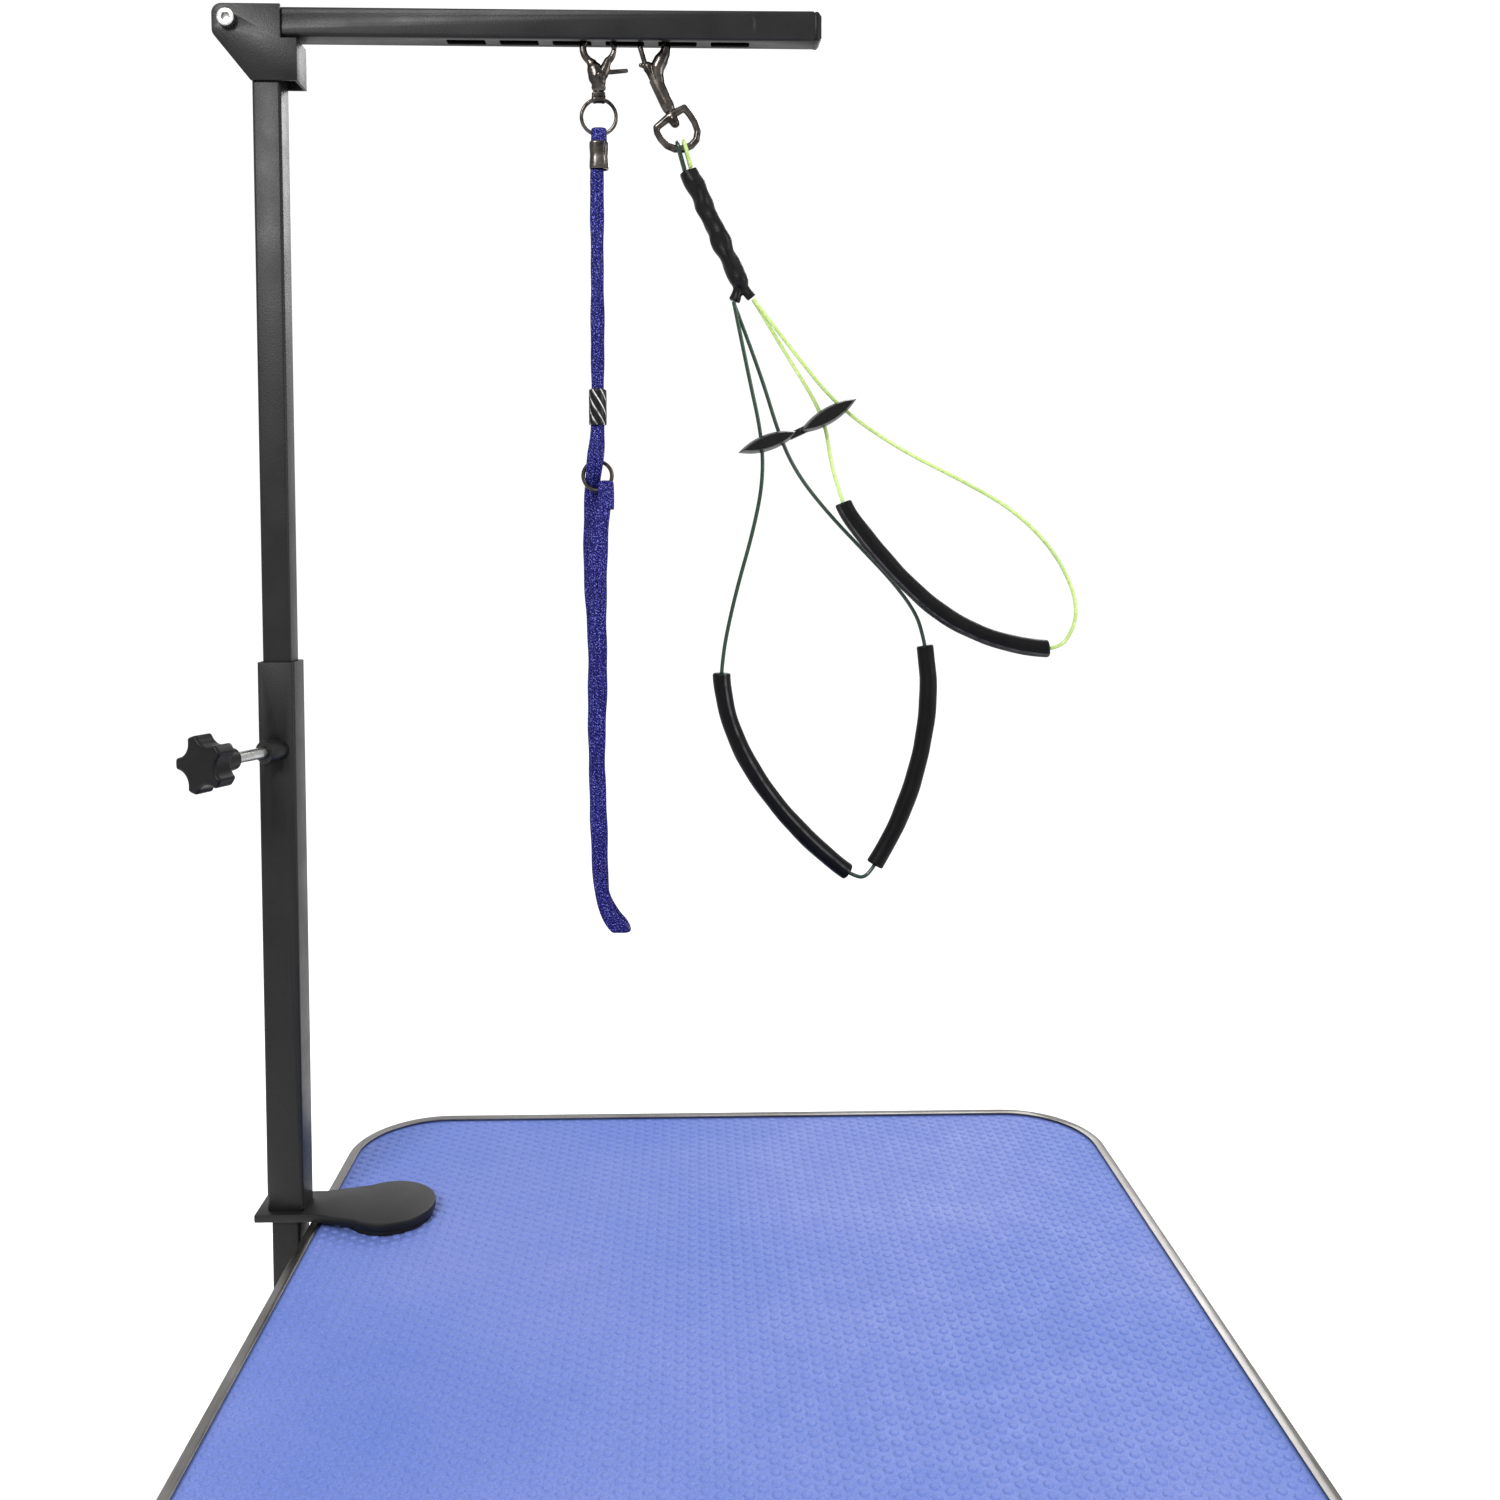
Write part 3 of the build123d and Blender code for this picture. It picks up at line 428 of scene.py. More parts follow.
def round_cone(bm, start, end, r0, r1, sides=24):
    """A bar with round ends, from one point to another, added to a bmesh."""
    a = Vector(start)
    b = Vector(end)
    cone_between(bm, a, b, r0, r1, sides)
    for centre, radius in ((a, r0), (b, r1)):
        bmesh.ops.create_uvsphere(
            bm, u_segments=sides, v_segments=12, radius=radius, matrix=Matrix.Translation(centre)
        )


def cast(name, node, voxel, rounds, extra=(), lumps=0.0, lump_scale=0.0):
    """A cast or moulded part: the node and its extra webs run together with soft fillets."""
    bm = clean_copy(node) if node else bmesh.new()
    for piece in extra:
        round_cone(bm, *piece)
    bmesh.ops.triangulate(bm, faces=bm.faces)
    shape = mesh_from(bm, name)
    remesh = shape.modifiers.new("fuse", "REMESH")
    remesh.mode = "VOXEL"
    remesh.voxel_size = voxel
    soft = shape.modifiers.new("soft", "SMOOTH")
    soft.factor = 0.5
    soft.iterations = rounds
    seen = bpy.context.evaluated_depsgraph_get()
    mesh = bpy.data.meshes.new_from_object(shape.evaluated_get(seen))
    bpy.data.objects.remove(shape)
    if lumps:
        for vertex, normal in [(v, v.normal.copy()) for v in mesh.vertices]:
            vertex.co += normal * lumps * noise.noise(vertex.co * lump_scale)
    mesh.polygons.foreach_set("use_smooth", [True] * len(mesh.polygons))
    return link_object(bpy.data.objects.new(name, mesh))


# ---------------------------------------------------------------- cords
def spline_curve(name, points, radius=0.0, resolution=24):
    """One open NURBS spline through a route's points."""
    curve = bpy.data.curves.new(name, "CURVE")
    curve.dimensions = "3D"
    spline = curve.splines.new("NURBS")
    spline.points.add(len(points) - 1)
    for point, place in zip(spline.points, points):
        point.co = (*place, 1.0)
    spline.order_u = 3
    spline.use_endpoint_u = True
    spline.resolution_u = resolution
    curve.resolution_u = resolution
    curve.bevel_depth = radius
    curve.bevel_resolution = 5
    curve.use_fill_caps = radius > 0
    return link_object(bpy.data.objects.new(name, curve))


def spline_path(points):
    """The points that the route's own NURBS spline passes through."""
    guide = spline_curve("guide", points)
    mesh = bpy.data.meshes.new_from_object(guide)
    path = [v.co.copy() for v in mesh.vertices]
    bpy.data.objects.remove(guide)
    bpy.data.meshes.remove(mesh)
    return path


def even(path, step):
    """The same line with its points about one step apart."""
    line = np.array([tuple(p) for p in path])
    run = np.concatenate([[0.0], np.cumsum(np.linalg.norm(np.diff(line, axis=0), axis=1))])
    count = max(int(round(run[-1] / step)), 2)
    at = np.linspace(0.0, run[-1], count + 1)
    return np.stack([np.interp(at, run, line[:, k]) for k in range(3)], axis=1)


def between(path, start, end):
    """The stretch of a line from the point nearest start to the point nearest end."""
    line = np.array([tuple(p) for p in path])
    first = int(np.argmin(np.linalg.norm(line - np.array(start), axis=1)))
    last = int(np.argmin(np.linalg.norm(line - np.array(end), axis=1)))
    return line[first:last + 1]


def tube(name, line, wide_axis, section, closed_ends=True):
    """A tube along a line. section(s, length, u) gives across, out and a value for each angle u."""
    count = len(line)
    tangent = np.gradient(line, axis=0)
    tangent /= np.linalg.norm(tangent, axis=1)[:, None]
    wide = np.array(wide_axis, float)[None] - tangent * (tangent @ np.array(wide_axis, float))[:, None]
    wide /= np.linalg.norm(wide, axis=1)[:, None]
    out = np.cross(wide, tangent)
    steps = np.linalg.norm(np.diff(line, axis=0), axis=1)
    run = np.concatenate([[0.0], np.cumsum(steps)])
    across, thick, value = section(run, run[-1])
    sides = across.shape[1]
    points = line[:, None] + wide[:, None] * across[..., None] + out[:, None] * thick[..., None]
    points = points.reshape(-1, 3)
    i = np.arange(count - 1)[:, None] * sides
    j = np.arange(sides)[None]
    k = (j + 1) % sides
    faces = np.stack([i + j, i + k, i + sides + k, i + sides + j], axis=2).reshape(-1, 4).tolist()
    if closed_ends:
        faces.append(list(range(sides))[::-1])
        faces.append(list(range((count - 1) * sides, count * sides)))
    piece = mesh_object(name, points, faces)
    store_pick(piece, value.reshape(-1).astype(np.float32))
    return piece


BRAID_SIDES = 48
BRAID_STRANDS = 12
BRAID_PITCH = 2.3 * MM
BRAID_DEPTH = 0.32 * MM


def braid_section(width, thick, squeeze=None):
    """A flat tubular braid: two families of strands that pass over and under each other."""
    def section(run, length):
        u = np.linspace(0, 2 * math.pi, BRAID_SIDES, endpoint=False)[None]
        s = run[:, None]
        p = BRAID_STRANDS * u / (2 * math.pi) + s / BRAID_PITCH
        q = BRAID_STRANDS * u / (2 * math.pi) - s / BRAID_PITCH
        over = (np.floor(p) + np.floor(q)) % 2 < 1
        pick = np.where(over, np.abs(np.sin(math.pi * p)), np.abs(np.sin(math.pi * q))) ** 0.6
        wave = 1 + 0.05 * np.sin(s * 71.0) + 0.035 * np.sin(s * 187.0 + 1.3)
        half_w = width / 2 * wave
        half_t = thick / 2 * (1 + 0.08 * np.sin(s * 120.0))
        if squeeze is not None:
            pull = squeeze(s, length)
            half_w = half_w * pull
            half_t = half_t * (2 - pull)
        c, d = np.cos(u), np.sin(u)
        across = np.sign(c) * np.abs(c) ** 0.75 * half_w
        out = np.sign(d) * np.abs(d) ** 0.8 * half_t
        reach = np.hypot(c, d)
        lift = (pick - 0.6) * BRAID_DEPTH
        return across + c / reach * lift, out + d / reach * lift, pick
    return section


def round_section(radius, sides, ridge, ridge_angle, wobble, seed):
    """A round tube, with a lengthwise moulding seam and slow changes in its thickness."""
    def section(run, length):
        u = np.linspace(0, 2 * math.pi, sides, endpoint=False)[None]
        s = run[:, None]
        off = np.angle(np.exp(1j * (u - ridge_angle)))
        swell = wobble * (np.sin(s * 90 + seed) + 0.6 * np.sin(s * 233 + 2 * seed + u))
        end = np.minimum(s, length - s)
        roll = np.clip(1 - end / (1.2 * MM), 0, 1) ** 2 * 0.7 * MM
        r = radius + ridge * np.exp(-(off / 0.16) ** 2) + swell - roll
        return r * np.cos(u), r * np.sin(u), np.exp(-(off / 0.16) ** 2) + 0 * s
    return section


def place(points):
    """Route points drawn about the arm's line, the table's middle and its top, in mm."""
    return [(TABLE_X + x * MM, ARM_LINE_Y + y * MM, TABLE_TOP + z * MM) for x, y, z in points]


NOOSE_ROUTE = place([
    (-95.8, 0.0, 753.9), (-96.0, 0.1, 706.0), (-95.9, -0.1, 655.0), (-96.1, 0.1, 607.0),
    (-96.2, 0.0, 566.0), (-97.4, -10.8, 550.0), (-101.6, 10.8, 527.0), (-102.0, 6.6, 500.0),
    (-101.2, 6.4, 454.0), (-98.4, 6.8, 404.0), (-99.8, 6.2, 352.0), (-98.0, 6.6, 300.0),
    (-97.4, 6.2, 254.0), (-95.4, 6.4, 234.0), (-88.6, 6.4, 220.0), (-79.6, 6.5, 210.5),
    (-79.6, -6.5, 210.5), (-88.6, -6.4, 220.0), (-94.6, -6.4, 236.0), (-95.6, -6.2, 262.0),
    (-96.4, -6.6, 306.0), (-97.4, -6.0, 352.0), (-94.8, -6.6, 402.0), (-96.2, -5.6, 452.0),
    (-94.6, -4.4, 492.0), (-92.6, -3.0, 515.5),
])

LIGHT_ROUTE = place([
    (14.6, -1.7, 664.0), (43.0, -2.6, 627.0), (74.6, -4.0, 588.0), (119.0, -6.0, 557.5),
    (161.0, -7.0, 537.0), (199.0, -7.0, 516.0), (228.0, -6.0, 489.0), (245.0, -5.0, 459.0),
    (248.4, -4.5, 437.0), (240.5, -4.2, 419.5), (232.0, -4.0, 415.5), (223.0, -4.0, 414.5),
    (188.0, -4.0, 421.0), (153.0, -4.0, 437.5), (125.0, -4.0, 461.5), (102.0, -4.0, 486.5),
    (81.0, -2.6, 513.5), (76.6, -2.0, 527.0), (70.6, 0.0, 547.0), (65.6, 2.4, 582.0),
    (40.0, 2.2, 623.0), (14.6, 1.7, 664.0),
])

DARK_ROUTE = place([
    (0.6, -1.7, 662.0), (10.5, -2.2, 613.0), (20.6, -2.6, 568.0), (21.6, -3.0, 535.0),
    (14.4, -3.0, 499.0), (3.0, -3.0, 459.0), (-5.0, -3.0, 424.0), (-7.8, -3.0, 403.0),
    (-8.2, -3.0, 392.0), (-3.6, -3.0, 365.0), (9.5, -3.0, 334.0), (30.5, -3.0, 303.0),
    (55.5, -3.0, 275.5), (80.0, -2.0, 254.5), (87.5, -1.2, 249.8), (95.5, 0.0, 247.2),
    (101.8, 1.4, 253.4), (105.4, 2.0, 259.8), (118.0, 3.0, 281.0), (131.5, 3.0, 315.0),
    (140.0, 3.0, 352.0), (143.0, 4.0, 385.0), (140.8, 6.0, 411.0), (139.0, 6.6, 422.0),
    (134.0, 9.0, 440.0), (117.0, 11.0, 463.0), (93.0, 11.0, 488.0), (68.0, 9.0, 514.0),
    (47.0, 5.6, 540.0), (34.0, 3.4, 566.0), (19.0, 2.4, 615.0), (0.6, 1.7, 662.0),
])


def middle(route, first):
    a, b = Vector(route[first]), Vector(route[first + 1])
    return (a + b) / 2


# ---- noose cord ----
CORD_W = 11.0 * MM
CORD_T = 4.2 * MM


def cord_pull(s, length):
    """The braid is drawn in along the slider's travel, and a little more at the ferrule."""
    grip = np.exp(-(s / 0.006) ** 2) * 0.04
    travel = 0.15 / (1 + np.exp((s - 0.187) / 0.004))
    return 1 - grip - travel


noose_line = even(spline_path(NOOSE_ROUTE), 0.58 * MM)
noose_cord = tube("noose_braid", noose_line, (1, 0, 0), braid_section(CORD_W, CORD_T, cord_pull))
finish_piece(noose_cord, "noose_cord", "blue_cord")

# the strap through the upper ring, down into the ferrule
loop_low, loop_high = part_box("noose_top_loop")
ring_low, ring_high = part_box("noose_ring")
bar_x = (ring_low[0] + ring_high[0]) / 2
WRAP_R = 3.3 * MM
wrap_z = ring_low[2] + 1.35 * MM
strap_points = [(bar_x, ARM_LINE_Y - WRAP_R, loop_low[2] - 6 * MM)]
for k in range(13):
    angle = math.pi - math.pi * k / 12
    strap_points.append(
        (bar_x, ARM_LINE_Y + WRAP_R * math.cos(angle), wrap_z + WRAP_R * math.sin(angle))
    )
strap_points.append((bar_x, ARM_LINE_Y + WRAP_R, loop_low[2] - 6 * MM))
strap_line = even(strap_points, 0.5 * MM)
top_strap = tube("noose_top_strap", strap_line, (1, 0, 0), braid_section(10.2 * MM, 3.0 * MM))
finish_piece(top_strap, "noose_top_loop", "blue_cord")

# the strap round the slip ring, whose two legs run into the loop's last strand
tail_low, tail_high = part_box("noose_tail_loop")
slip_low, slip_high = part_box("noose_slip_ring")
slip_x = (slip_low[0] + slip_high[0]) / 2
slip_z = (slip_low[2] + slip_high[2]) / 2
slip_r = (slip_high[0] - slip_low[0]) / 2 - 1.45 * MM
tail_x = (tail_low[0] + tail_high[0]) / 2 - 1.6 * MM
grip_z = slip_z - math.sqrt(slip_r ** 2 - (tail_x - slip_x) ** 2)
tail_points = [(tail_x, ARM_LINE_Y - 3.6 * MM, tail_low[2] - 1 * MM)]
for k in range(11):
    angle = math.pi - math.pi * k / 10
    tail_points.append(
        (tail_x - 0.4 * MM, ARM_LINE_Y + 3.3 * MM * math.cos(angle), grip_z + 3.3 * MM * math.sin(angle))
    )
tail_points.append((tail_x, ARM_LINE_Y - 0.4 * MM, tail_low[2] - 1 * MM))
tail_line = even(tail_points, 0.5 * MM)
tail_strap = tube("noose_tail_strap", tail_line, (1, 0, 0), braid_section(10.4 * MM, 2.8 * MM))
finish_piece(tail_strap, "noose_tail_loop", "blue_cord")

# ---- harness cables ----
CABLE_R = 1.43 * MM
light_cable = spline_curve("light_cable_loop", LIGHT_ROUTE, CABLE_R)
finish_piece(light_cable, "harness_light_cable", "light_cable")
dark_cable = spline_curve("dark_cable_loop", DARK_ROUTE, CABLE_R)
finish_piece(dark_cable, "harness_dark_cable", "dark_cable")

light_path = spline_path(LIGHT_ROUTE)
dark_path = spline_path(DARK_ROUTE)

# ---- foam tubes ----
PAD_R = 6.3 * MM


def foam_tube(name, node, route, path, first, last, seed, ridge_angle):
    """A thick foam tube over the cable, with its bored ends and a moulding seam."""
    line = even(between(path, middle(route, first), middle(route, last)), 1.5 * MM)
    dense = np.concatenate([
        np.linspace(line[0], line[1], 5)[:-1], line[1:-1], np.linspace(line[-2], line[-1], 5)[1:],
    ])
    section = round_section(PAD_R, 40, 0.55 * MM, ridge_angle, 0.16 * MM, seed)
    outer = tube(name, dense, (1, 0, 0.35), section, closed_ends=False)
    bm = bmesh.new()
    bm.from_mesh(outer.data)
    rims = [e for e in bm.edges if e.is_boundary]
    made = bmesh.ops.extrude_edge_only(bm, edges=rims)
    fresh = [g for g in made["geom"] if isinstance(g, bmesh.types.BMVert)]
    ends = (Vector(dense[0]), Vector(dense[-1]))
    hole = CABLE_R + 0.5 * MM
    for vertex in fresh:
        centre = min(ends, key=lambda e: (e - vertex.co).length)
        vertex.co = centre + (vertex.co - centre).normalized() * hole
    inner = [e for e in bm.edges if e.is_boundary]
    made = bmesh.ops.extrude_edge_only(bm, edges=inner)
    fresh = [g for g in made["geom"] if isinstance(g, bmesh.types.BMVert)]
    inward = ((Vector(dense[6]) - ends[0]).normalized(), (Vector(dense[-7]) - ends[1]).normalized())
    for vertex in fresh:
        k = 0 if (ends[0] - vertex.co).length < (ends[1] - vertex.co).length else 1
        vertex.co += inward[k] * 5 * MM
    bmesh.ops.recalc_face_normals(bm, faces=bm.faces)
    bm.to_mesh(outer.data)
    bm.free()
    smooth_by_angle(outer.data, 50)
    finish_piece(outer, node, "foam")


foam_tube("foam_tube_wide", "harness_pad_a", LIGHT_ROUTE, light_path, 10, 16, 0.4, 2.2)
foam_tube("foam_tube_left", "harness_pad_b", DARK_ROUTE, dark_path, 7, 13, 1.7, -1.2)
foam_tube("foam_tube_right", "harness_pad_c", DARK_ROUTE, dark_path, 16, 22, 2.9, -1.4)

# ---- the cables' folds over the eye, and the sleeve ----
light_fold = cast("light_cable_fold", "harness_light_bight", 0.35 * MM, 2)
finish_piece(light_fold, "harness_light_bight", "light_cable")
dark_fold = cast("dark_cable_fold", "harness_dark_bight", 0.35 * MM, 2)
finish_piece(dark_fold, "harness_dark_bight", "dark_cable")
sleeve = cast("shrink_wrap", "harness_sleeve", 0.9 * MM, 6, lumps=1.9 * MM, lump_scale=95.0)
finish_piece(sleeve, "harness_sleeve", "shrink_sleeve")


# ---------------------------------------------------------------- the embossed mat
BUMP_H = 0.75 * MM
BUMP_R = 3.05 * MM
COLUMN_PITCH = 7.5 * MM
ROW_PITCH = 8.67 * MM
LIP_W = 5.4 * MM
MAT_CORNER_R = 68.4 * MM
BUMP_SIDES = 8


def rounded_outline(half_x, half_y, radius, steps=14):
    points = []
    for cx, cy, start in (
        (half_x - radius, half_y - radius, 0), (-half_x + radius, half_y - radius, 90),
        (-half_x + radius, -half_y + radius, 180), (half_x - radius, -half_y + radius, 270),
    ):
        for k in range(steps + 1):
            angle = math.radians(start + 90 * k / steps)
            points.append((cx + radius * math.cos(angle), cy + radius * math.sin(angle)))
    return points


def embossed_mat():
    """A thin rubber sheet with staggered rows of studs, each a low domed disc."""
    half_x = (MAT_BOX[1][0] - MAT_BOX[0][0]) / 2
    half_y = (MAT_BOX[1][1] - MAT_BOX[0][1]) / 2
    outline = rounded_outline(half_x, half_y, MAT_CORNER_R)
    base = TABLE_TOP - BUMP_H
    points = [(TABLE_X + x, y, z) for z in (MAT_BOX[0][2], base) for x, y in outline]
    n = len(outline)
    faces = [list(range(n))[::-1], list(range(n, 2 * n))]
    faces += [[k, (k + 1) % n, n + (k + 1) % n, n + k] for k in range(n)]

    open_x = half_x - LIP_W - BUMP_R
    open_y = half_y - LIP_W - BUMP_R
    corner = MAT_CORNER_R - LIP_W - BUMP_R
    columns = int(open_x // COLUMN_PITCH)
    rows = int(open_y // ROW_PITCH) + 1
    sides = BUMP_SIDES
    turn = np.arange(sides) * 2 * math.pi / sides
    profile = ((BUMP_R, -0.05 * MM), (BUMP_R - 0.5 * MM, 0.5 * MM), (BUMP_R - 1.15 * MM, BUMP_H))
    for i in range(-columns, columns + 1):
        for j in range(-rows, rows + 1):
            x = i * COLUMN_PITCH
            y = (j + (0.5 if i % 2 else 0.0)) * ROW_PITCH
            if abs(y) > open_y:
                continue
            dx = abs(x) - (open_x - corner)
            dy = abs(y) - (open_y - corner)
            if dx > 0 and dy > 0 and math.hypot(dx, dy) > corner:
                continue
            first = len(points)
            for r, z in profile:
                points += [
                    (TABLE_X + x + r * math.cos(t), y + r * math.sin(t), base + z) for t in turn
                ]
            for k in range(sides):
                m = (k + 1) % sides
                faces.append([first + k, first + m, first + sides + m, first + sides + k])
                faces.append([
                    first + sides + k, first + sides + m, first + 2 * sides + m, first + 2 * sides + k,
                ])
            faces.append([first + 2 * sides + k for k in range(sides)])
    piece = mesh_object("embossed_mat", points, faces)
    smooth_by_angle(piece.data, 60)
    finish_piece(piece, "top_mat", "mat")


embossed_mat()


# ---------------------------------------------------------------- CAD parts with worked edges
for node in ("side_rails", "cross_rails"):
    soften(node, corner=2.5 * MM)
for node in ("outer_post", "inner_post", "clamp_back"):
    soften(node, corner=2.2 * MM)
soften("arm_tube", corner=2.4 * MM)
soften("clamp_jaw", corner=1.2 * MM, long_edge=0.02)
soften("clamp_plate", edge=1.3 * MM)
soften("arm_bracket", edge=0.5 * MM)
soften("arm_end_cap", edge=0.8 * MM)
soften("lock_boss", edge=0.6 * MM)
for node in ("hinge_channels_front", "hinge_channels_rear"):
    soften(node, edge=0.9 * MM)
for node in ("edge_trim", "clamp_plate_pad", "clamp_foot", "front_feet", "rear_feet", "rail_end_caps"):
    soften(node, edge=0.5 * MM)
for node in ("arm_pivot_bolt", "arm_pivot_nut", "clamp_nut", "leg_hinge_bolts", "rail_screws"):
    soften(node, edge=0.4 * MM)


def cast_node(node, voxel, rounds):
    finish_piece(cast(node + "_cast", node, voxel, rounds), node, SLOTS[node])


for node in ("clamp_knob", "lock_knob"):
    cast_node(node, 0.5 * MM, 4)


# ---------------------------------------------------------------- the two snaps
def sweep_stops(radius, start, end, r0, r1, steps):
    """Stops along an arc about the centre, from one angle to another."""
    stops = []
    for k in range(steps + 1):
        t = k / steps
        angle = math.radians(start + (end - start) * t)
        stops.append((radius * math.cos(angle), radius * math.sin(angle), r0 + (r1 - r0) * t))
    return stops


def cast_metal(name, node, centre, chains, flat=1.0, bore=None, rivet=None):
    """A die-cast piece from chains of round bars in the plane of the arm.

    A chain's stop is x, z and radius in mm, from the hook's centre. A bore has two such stops,
    and a rivet is x, z, its radius and how far it stands out.
    """

    def spot(x, z):
        return Vector((centre[0] + x * MM, ARM_LINE_Y, centre[1] + z * MM))

    extra = []
    if rivet:
        x, z, radius, out = rivet
        ends = [
            (centre[0] + x * MM, ARM_LINE_Y + side * out * MM / flat, centre[1] + z * MM)
            for side in (-1, 1)
        ]
        extra.append((*ends, radius * MM, radius * MM * 0.8))
    for stops in chains:
        for (x0, z0, r0), (x1, z1, r1) in zip(stops, stops[1:]):
            extra.append((spot(x0, z0), spot(x1, z1), r0 * MM, r1 * MM))
    piece = cast(name, None, 0.38 * MM, 3, extra)
    for vertex in piece.data.vertices:
        vertex.co.y = ARM_LINE_Y + (vertex.co.y - ARM_LINE_Y) * flat
    if bore:
        (x0, z0, r0), (x1, z1, r1) = bore
        bm = bmesh.new()
        cone_between(bm, spot(x0, z0), spot(x1, z1), r0 * MM, r1 * MM, 32)
        drill = mesh_from(bm, name + "_drill")
        cut = piece.modifiers.new("bore", "BOOLEAN")
        cut.operation = "DIFFERENCE"
        cut.solver = "EXACT"
        cut.object = drill
        seen = bpy.context.evaluated_depsgraph_get()
        mesh = bpy.data.meshes.new_from_object(piece.evaluated_get(seen))
        bpy.data.objects.remove(piece)
        bpy.data.objects.remove(drill)
        smooth_by_angle(mesh, 45)
        piece = link_object(bpy.data.objects.new(name, mesh))
    finish_piece(piece, node, "nickel")


CLAW_CENTRE = (TABLE_X - 94.25 * MM, TABLE_TOP + 837.8 * MM)
HOOK_CENTRE = (TABLE_X - 57.35 * MM, TABLE_TOP + 839.7 * MM)

cast_metal("trigger_snap_body", "noose_snap", CLAW_CENTRE, [
    sweep_stops(10.9, 2, 250, 2.0, 2.7, 26),
    [(-5.2, -10.2, 3.2), (-2.6, -15.0, 5.6), (-0.8, -19.6, 6.6), (-0.2, -23.0, 5.4), (0.0, -26.0, 4.4)],
    [(-2.2, -27.0, 3.0), (2.2, -27.0, 3.0)],
], flat=0.62, rivet=(0.6, -19.4, 2.1, 4.4))
cast_metal("trigger_snap_lever", "noose_snap_trigger", CLAW_CENTRE, [
    sweep_stops(10.9, 350, 306, 1.9, 2.7, 6),
    [(6.4, -8.8, 2.7), (4.6, -13.6, 3.6), (2.6, -18.0, 4.2)],
    [(5.0, -15.6, 2.4), (8.4, -16.4, 1.7), (19.4, -15.4, 1.5)],
], flat=0.72)
cast_metal("trigger_snap_swivel", "noose_swivel", CLAW_CENTRE, [
    [(0.0, -26.0, 1.5), (0.0, -33.0, 1.5)],
    [(-3.0, -31.6, 2.0), (3.0, -31.6, 2.0)],
    [(-2.8, -35.4, 2.6), (2.8, -35.4, 2.6)],
    [(-3.4, -33.4, 1.7), (-3.0, -36.6, 1.8)],
    [(3.4, -33.4, 1.7), (3.0, -36.6, 1.8)],
])
cast_metal("bolt_snap_body", "harness_snap", HOOK_CENTRE, [
    sweep_stops(9.6, 140, 0, 2.0, 2.9, 16),
    [
        (9.6, 0.0, 2.9), (10.4, -1.6, 3.3), (9.4, -5.5, 4.0), (6.8, -10.0, 5.2), (4.2, -15.0, 5.2),
        (4.2, -20.0, 4.7), (5.6, -27.0, 4.3), (9.0, -35.0, 4.4),
    ],
    [(-2.4, -14.4, 3.6), (2.4, -24.0, 4.0), (6.2, -31.0, 4.4), (11.0, -40.0, 4.9), (12.2, -42.6, 4.6)],
], flat=0.82, bore=((-7.4, -2.2, 2.15), (-0.5, -24.8, 2.15)))
cast_metal("bolt_snap_bolt", "harness_snap_bolt", HOOK_CENTRE, [
    [(-7.9, -0.5, 1.7), (-7.6, -1.4, 1.9), (-3.3, -15.6, 1.9)],
    [(-4.2, -14.6, 1.4), (-7.4, -13.4, 1.5)],
])
cast_metal("bolt_snap_eye", "harness_eye", HOOK_CENTRE, [
    [
        (3.6, -56.3, 2.5), (12.6, -48.9, 3.0), (15.0, -47.0, 3.0), (23.2, -42.6, 2.5),
    ],
    [
        (23.2, -42.6, 2.5), (27.0, -47.2, 2.4), (30.4, -52.4, 2.4), (32.6, -58.6, 2.4), (31.6, -64.6, 2.5),
        (28.0, -68.6, 2.6), (22.6, -71.0, 2.7), (16.6, -71.0, 2.7), (11.0, -68.8, 2.5), (6.6, -64.4, 2.4),
        (4.0, -59.8, 2.4), (3.6, -56.3, 2.5),
    ],
    [(12.4, -43.6, 2.0), (15.2, -50.6, 3.9), (16.6, -53.0, 3.5)],
])
cast_node("harness_slide_plate", 0.5 * MM, 5)


# ---------------------------------------------------------------- slider and ferrule
def turned(name, node, slot, radius_of, sides, rings, hole):
    """A sleeve about a vertical axis, its outside radius given by angle and height."""
    low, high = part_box(node)
    cx, cy = (low[0] + high[0]) / 2, (low[1] + high[1]) / 2
    tall = high[2] - low[2]
    points = []
    for i in range(rings + 1):
        t = i / rings
        for k in range(sides):
            u = 2 * math.pi * k / sides
            x, y = radius_of(u, t)
            points.append((cx + x, cy + y, low[2] + t * tall))
    for t in (1, 0):
        for k in range(sides):
            u = 2 * math.pi * k / sides
            points.append((cx + hole[0] * math.cos(u), cy + hole[1] * math.sin(u), low[2] + t * tall))
    faces = []
    for i in range(rings + 2):
        for k in range(sides):
            m = (k + 1) % sides
            faces.append([i * sides + k, i * sides + m, (i + 1) * sides + m, (i + 1) * sides + k])
    last = (rings + 2) * sides
    for k in range(sides):
        m = (k + 1) % sides
        faces.append([last + k, last + m, m, k])
    piece = mesh_object(name, points, faces)
    smooth_by_angle(piece.data, 40)
    return finish_piece(piece, node, slot)


def slider_groove(u, t):
    """How deep the slider's diagonal crimp is, from 0 to 1."""
    a = abs((u * 6 / (2 * math.pi) + t * 2.6) % 1 - 0.5) * 2
    return max(0.0, 1 - a / 0.36)


def slider_radius(u, t):
    """Crimped sleeve: diagonal grooves and rolled ends."""
    groove = slider_groove(u, t)
    end = max(0.0, 1 - min(t, 1 - t) / 0.05)
    r = 6.35 * MM - 0.6 * MM * min(groove, 1.0) ** 0.7 - 0.5 * MM * end ** 2
    return r * math.cos(u), r * math.sin(u)


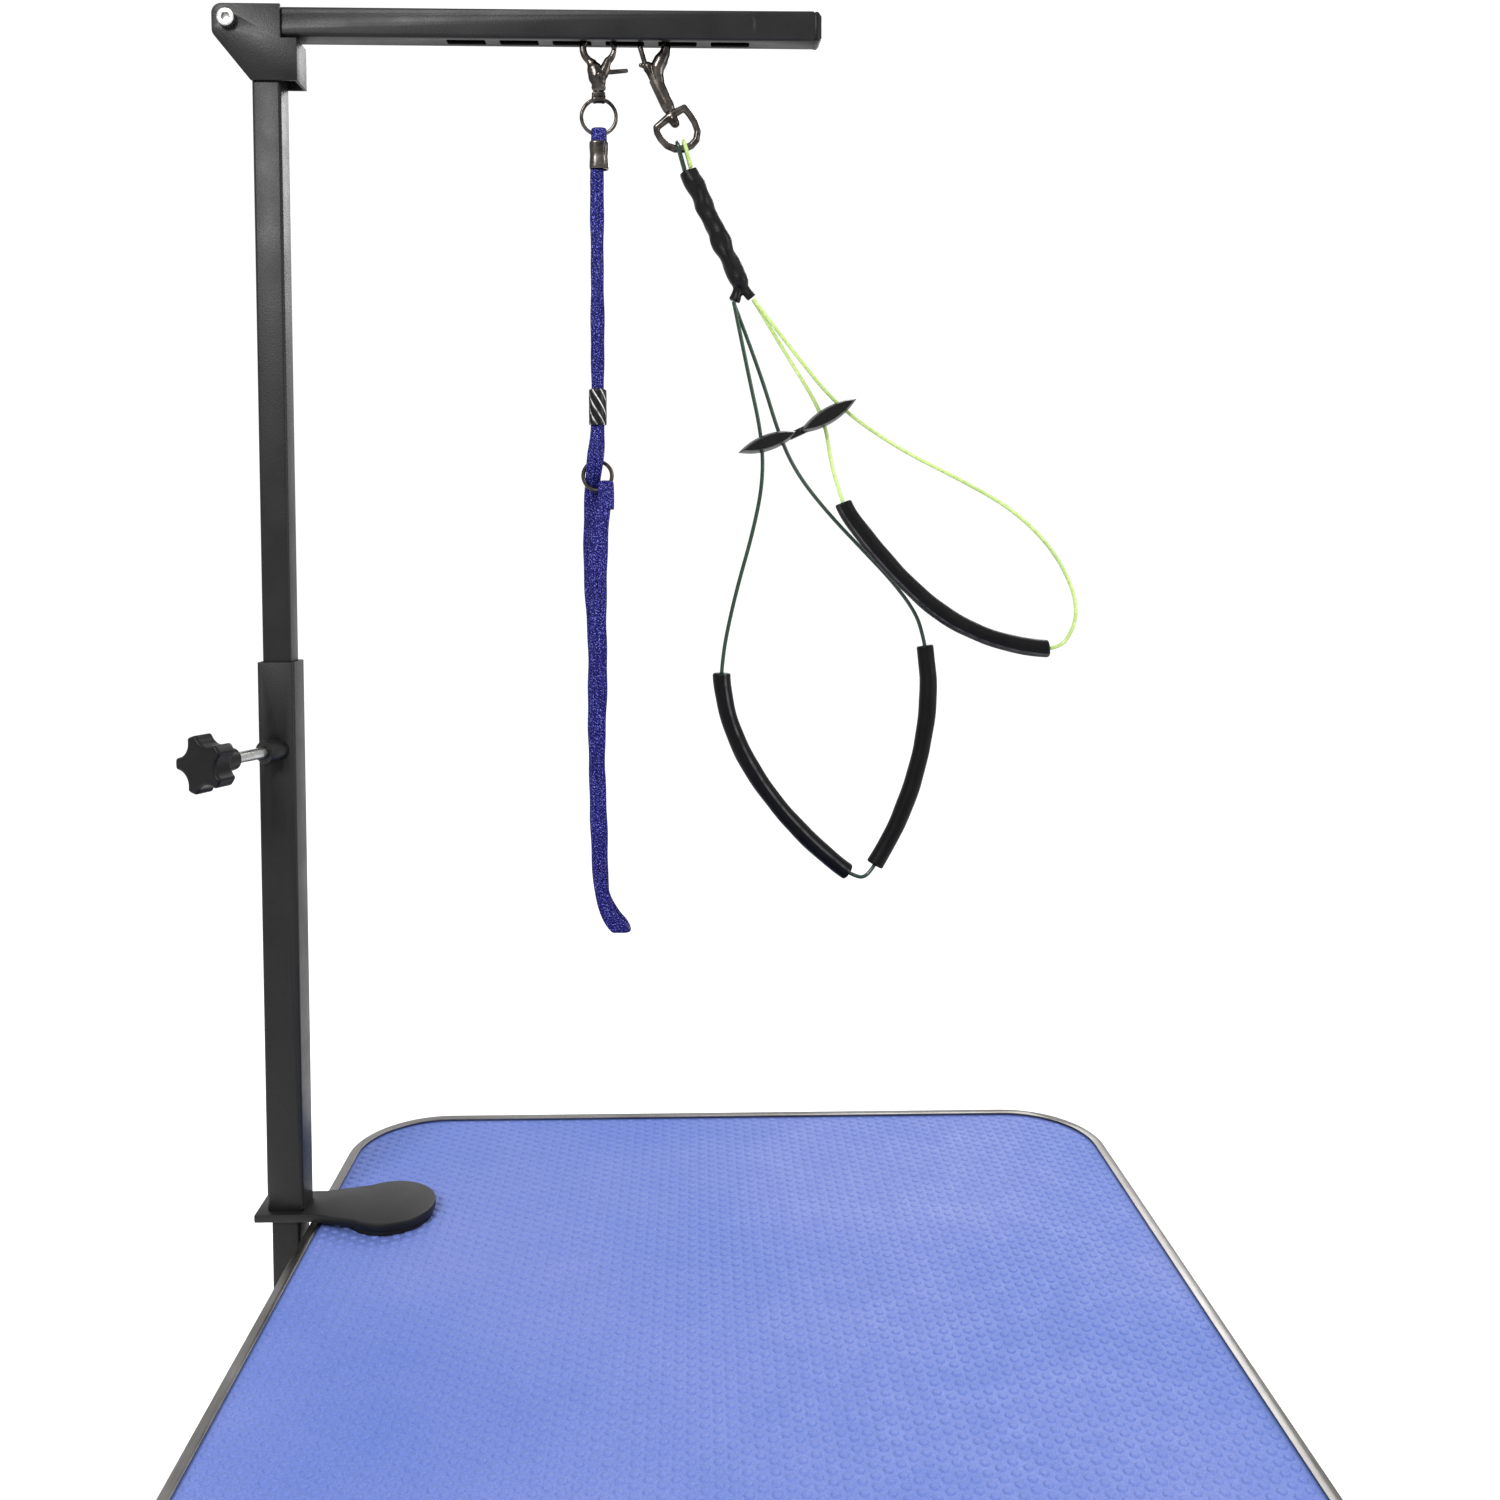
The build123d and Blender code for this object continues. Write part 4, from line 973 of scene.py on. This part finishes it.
def ferrule_radius(u, t):
    """A pressed flat-sided ferrule with a butt seam in front and lips at both ends."""
    c, s = math.cos(u), math.sin(u)
    x = math.copysign(abs(c) ** 0.72, c) * 6.85 * MM
    y = math.copysign(abs(s) ** 0.72, s) * 5.5 * MM
    end = max(0.0, 1 - min(t, 1 - t) / 0.06)
    waist = 1 - 0.05 * math.sin(math.pi * t) ** 4 - 0.07 * end ** 2
    gap = abs(math.atan2(math.sin(u - math.radians(300)), math.cos(u - math.radians(300))))
    seam = 1 - 0.09 * math.exp(-(gap / 0.06) ** 2)
    return x * waist * seam, y * waist * seam


SLIDER_SIDES, SLIDER_RINGS = 120, 90
slider = turned(
    "noose_slider_sleeve", "noose_slider", "black_plastic", slider_radius, SLIDER_SIDES, SLIDER_RINGS,
    (5.45 * MM, 4.3 * MM),
)
grooves = [
    slider_groove(2 * math.pi * k / SLIDER_SIDES, i / SLIDER_RINGS)
    for i in range(SLIDER_RINGS + 1) for k in range(SLIDER_SIDES)
]
grooves += [0.0] * (len(slider.data.vertices) - len(grooves))
store_pick(slider, grooves)
slider.data.materials[0] = crimped_sleeve()
turned("noose_ferrule_shell", "noose_ferrule", "nickel", ferrule_radius, 96, 40, (5.4 * MM, 4.0 * MM))


# ---------------------------------------------------------------- stage, lights and camera
def stage_floor():
    """A wide pale floor."""
    reach = 30.0
    floor = mesh_object(
        "floor", [(-reach, -reach, 0), (reach, -reach, 0), (reach, reach, 0), (-reach, reach, 0)],
        [[0, 1, 2, 3]], smooth=False,
    )
    s = Shader("floor", roughness=0.9, Specular_IOR_Level=0.1)
    s.colour(s.ramp(s.noise(3.0, 2.0), (0.3, rgb(250, 250, 250)), (0.7, rgb(253, 253, 253))))
    floor.data.materials.append(s.material)


def area_light(name, at, to, size, watts):
    data = bpy.data.lights.new(name, "AREA")
    data.shape = "DISK"
    data.size = size
    data.energy = watts
    lamp = link_object(bpy.data.objects.new(name, data))
    lamp.location = at
    lamp.rotation_euler = (Vector(to) - Vector(at)).to_track_quat("-Z", "Y").to_euler()


stage_floor()
area_light("key", (-1.1, -2.2, 3.0), (0.0, 0.1, 1.0), 0.9, 85)
area_light("fill", (2.4, -0.9, 1.9), (0.0, 0.2, 1.0), 1.6, 30)
area_light("back", (0.8, 2.4, 2.6), (0.0, 0.2, 1.0), 1.4, 30)

# a white backdrop behind the table, a soft ceiling, and a dimmer room on the other sides
BACKDROP = 1.06
OVERHEAD = 1.3
ROOM = 0.85
world = bpy.data.worlds.new("studio")
bpy.context.scene.world = world
world.use_nodes = True
sky = world.node_tree
background = sky.nodes["Background"]
background.inputs["Color"].default_value = (1, 1, 1, 1)
towards = sky.nodes.new("ShaderNodeSeparateXYZ")
sky.links.new(sky.nodes.new("ShaderNodeTexCoord").outputs["Generated"], towards.inputs[0])
levels = []
for axis, start, end, low, high in (("Y", 0.1, 0.45, ROOM, BACKDROP), ("Z", 0.36, 0.7, 0.0, OVERHEAD)):
    level = sky.nodes.new("ShaderNodeMapRange")
    for socket, number in zip(RANGE_SOCKETS, (start, end, low, high)):
        level.inputs[socket].default_value = number
    sky.links.new(towards.outputs[axis], level.inputs["Value"])
    levels.append(level.outputs["Result"])
brightest = sky.nodes.new("ShaderNodeMath")
brightest.operation = "MAXIMUM"
for k in range(2):
    sky.links.new(levels[k], brightest.inputs[k])
sky.links.new(brightest.outputs[0], background.inputs["Strength"])
bpy.context.scene.view_settings.view_transform = "Standard"

LOOK_DOWN = 3.14
LOOK_RIGHT = 1.52
lens = bpy.data.cameras.new("camera")
lens.sensor_width = 36.0
lens.lens = 32.69
lens.shift_x = 0.0133
lens.shift_y = -0.0921
lens.clip_start = 0.01
camera = link_object(bpy.data.objects.new("camera", lens))
camera.location = (0.0055, -0.6879, 1.2553)
camera.rotation_euler = (math.radians(90 - LOOK_DOWN), 0.0, math.radians(-LOOK_RIGHT))
bpy.context.scene.camera = camera
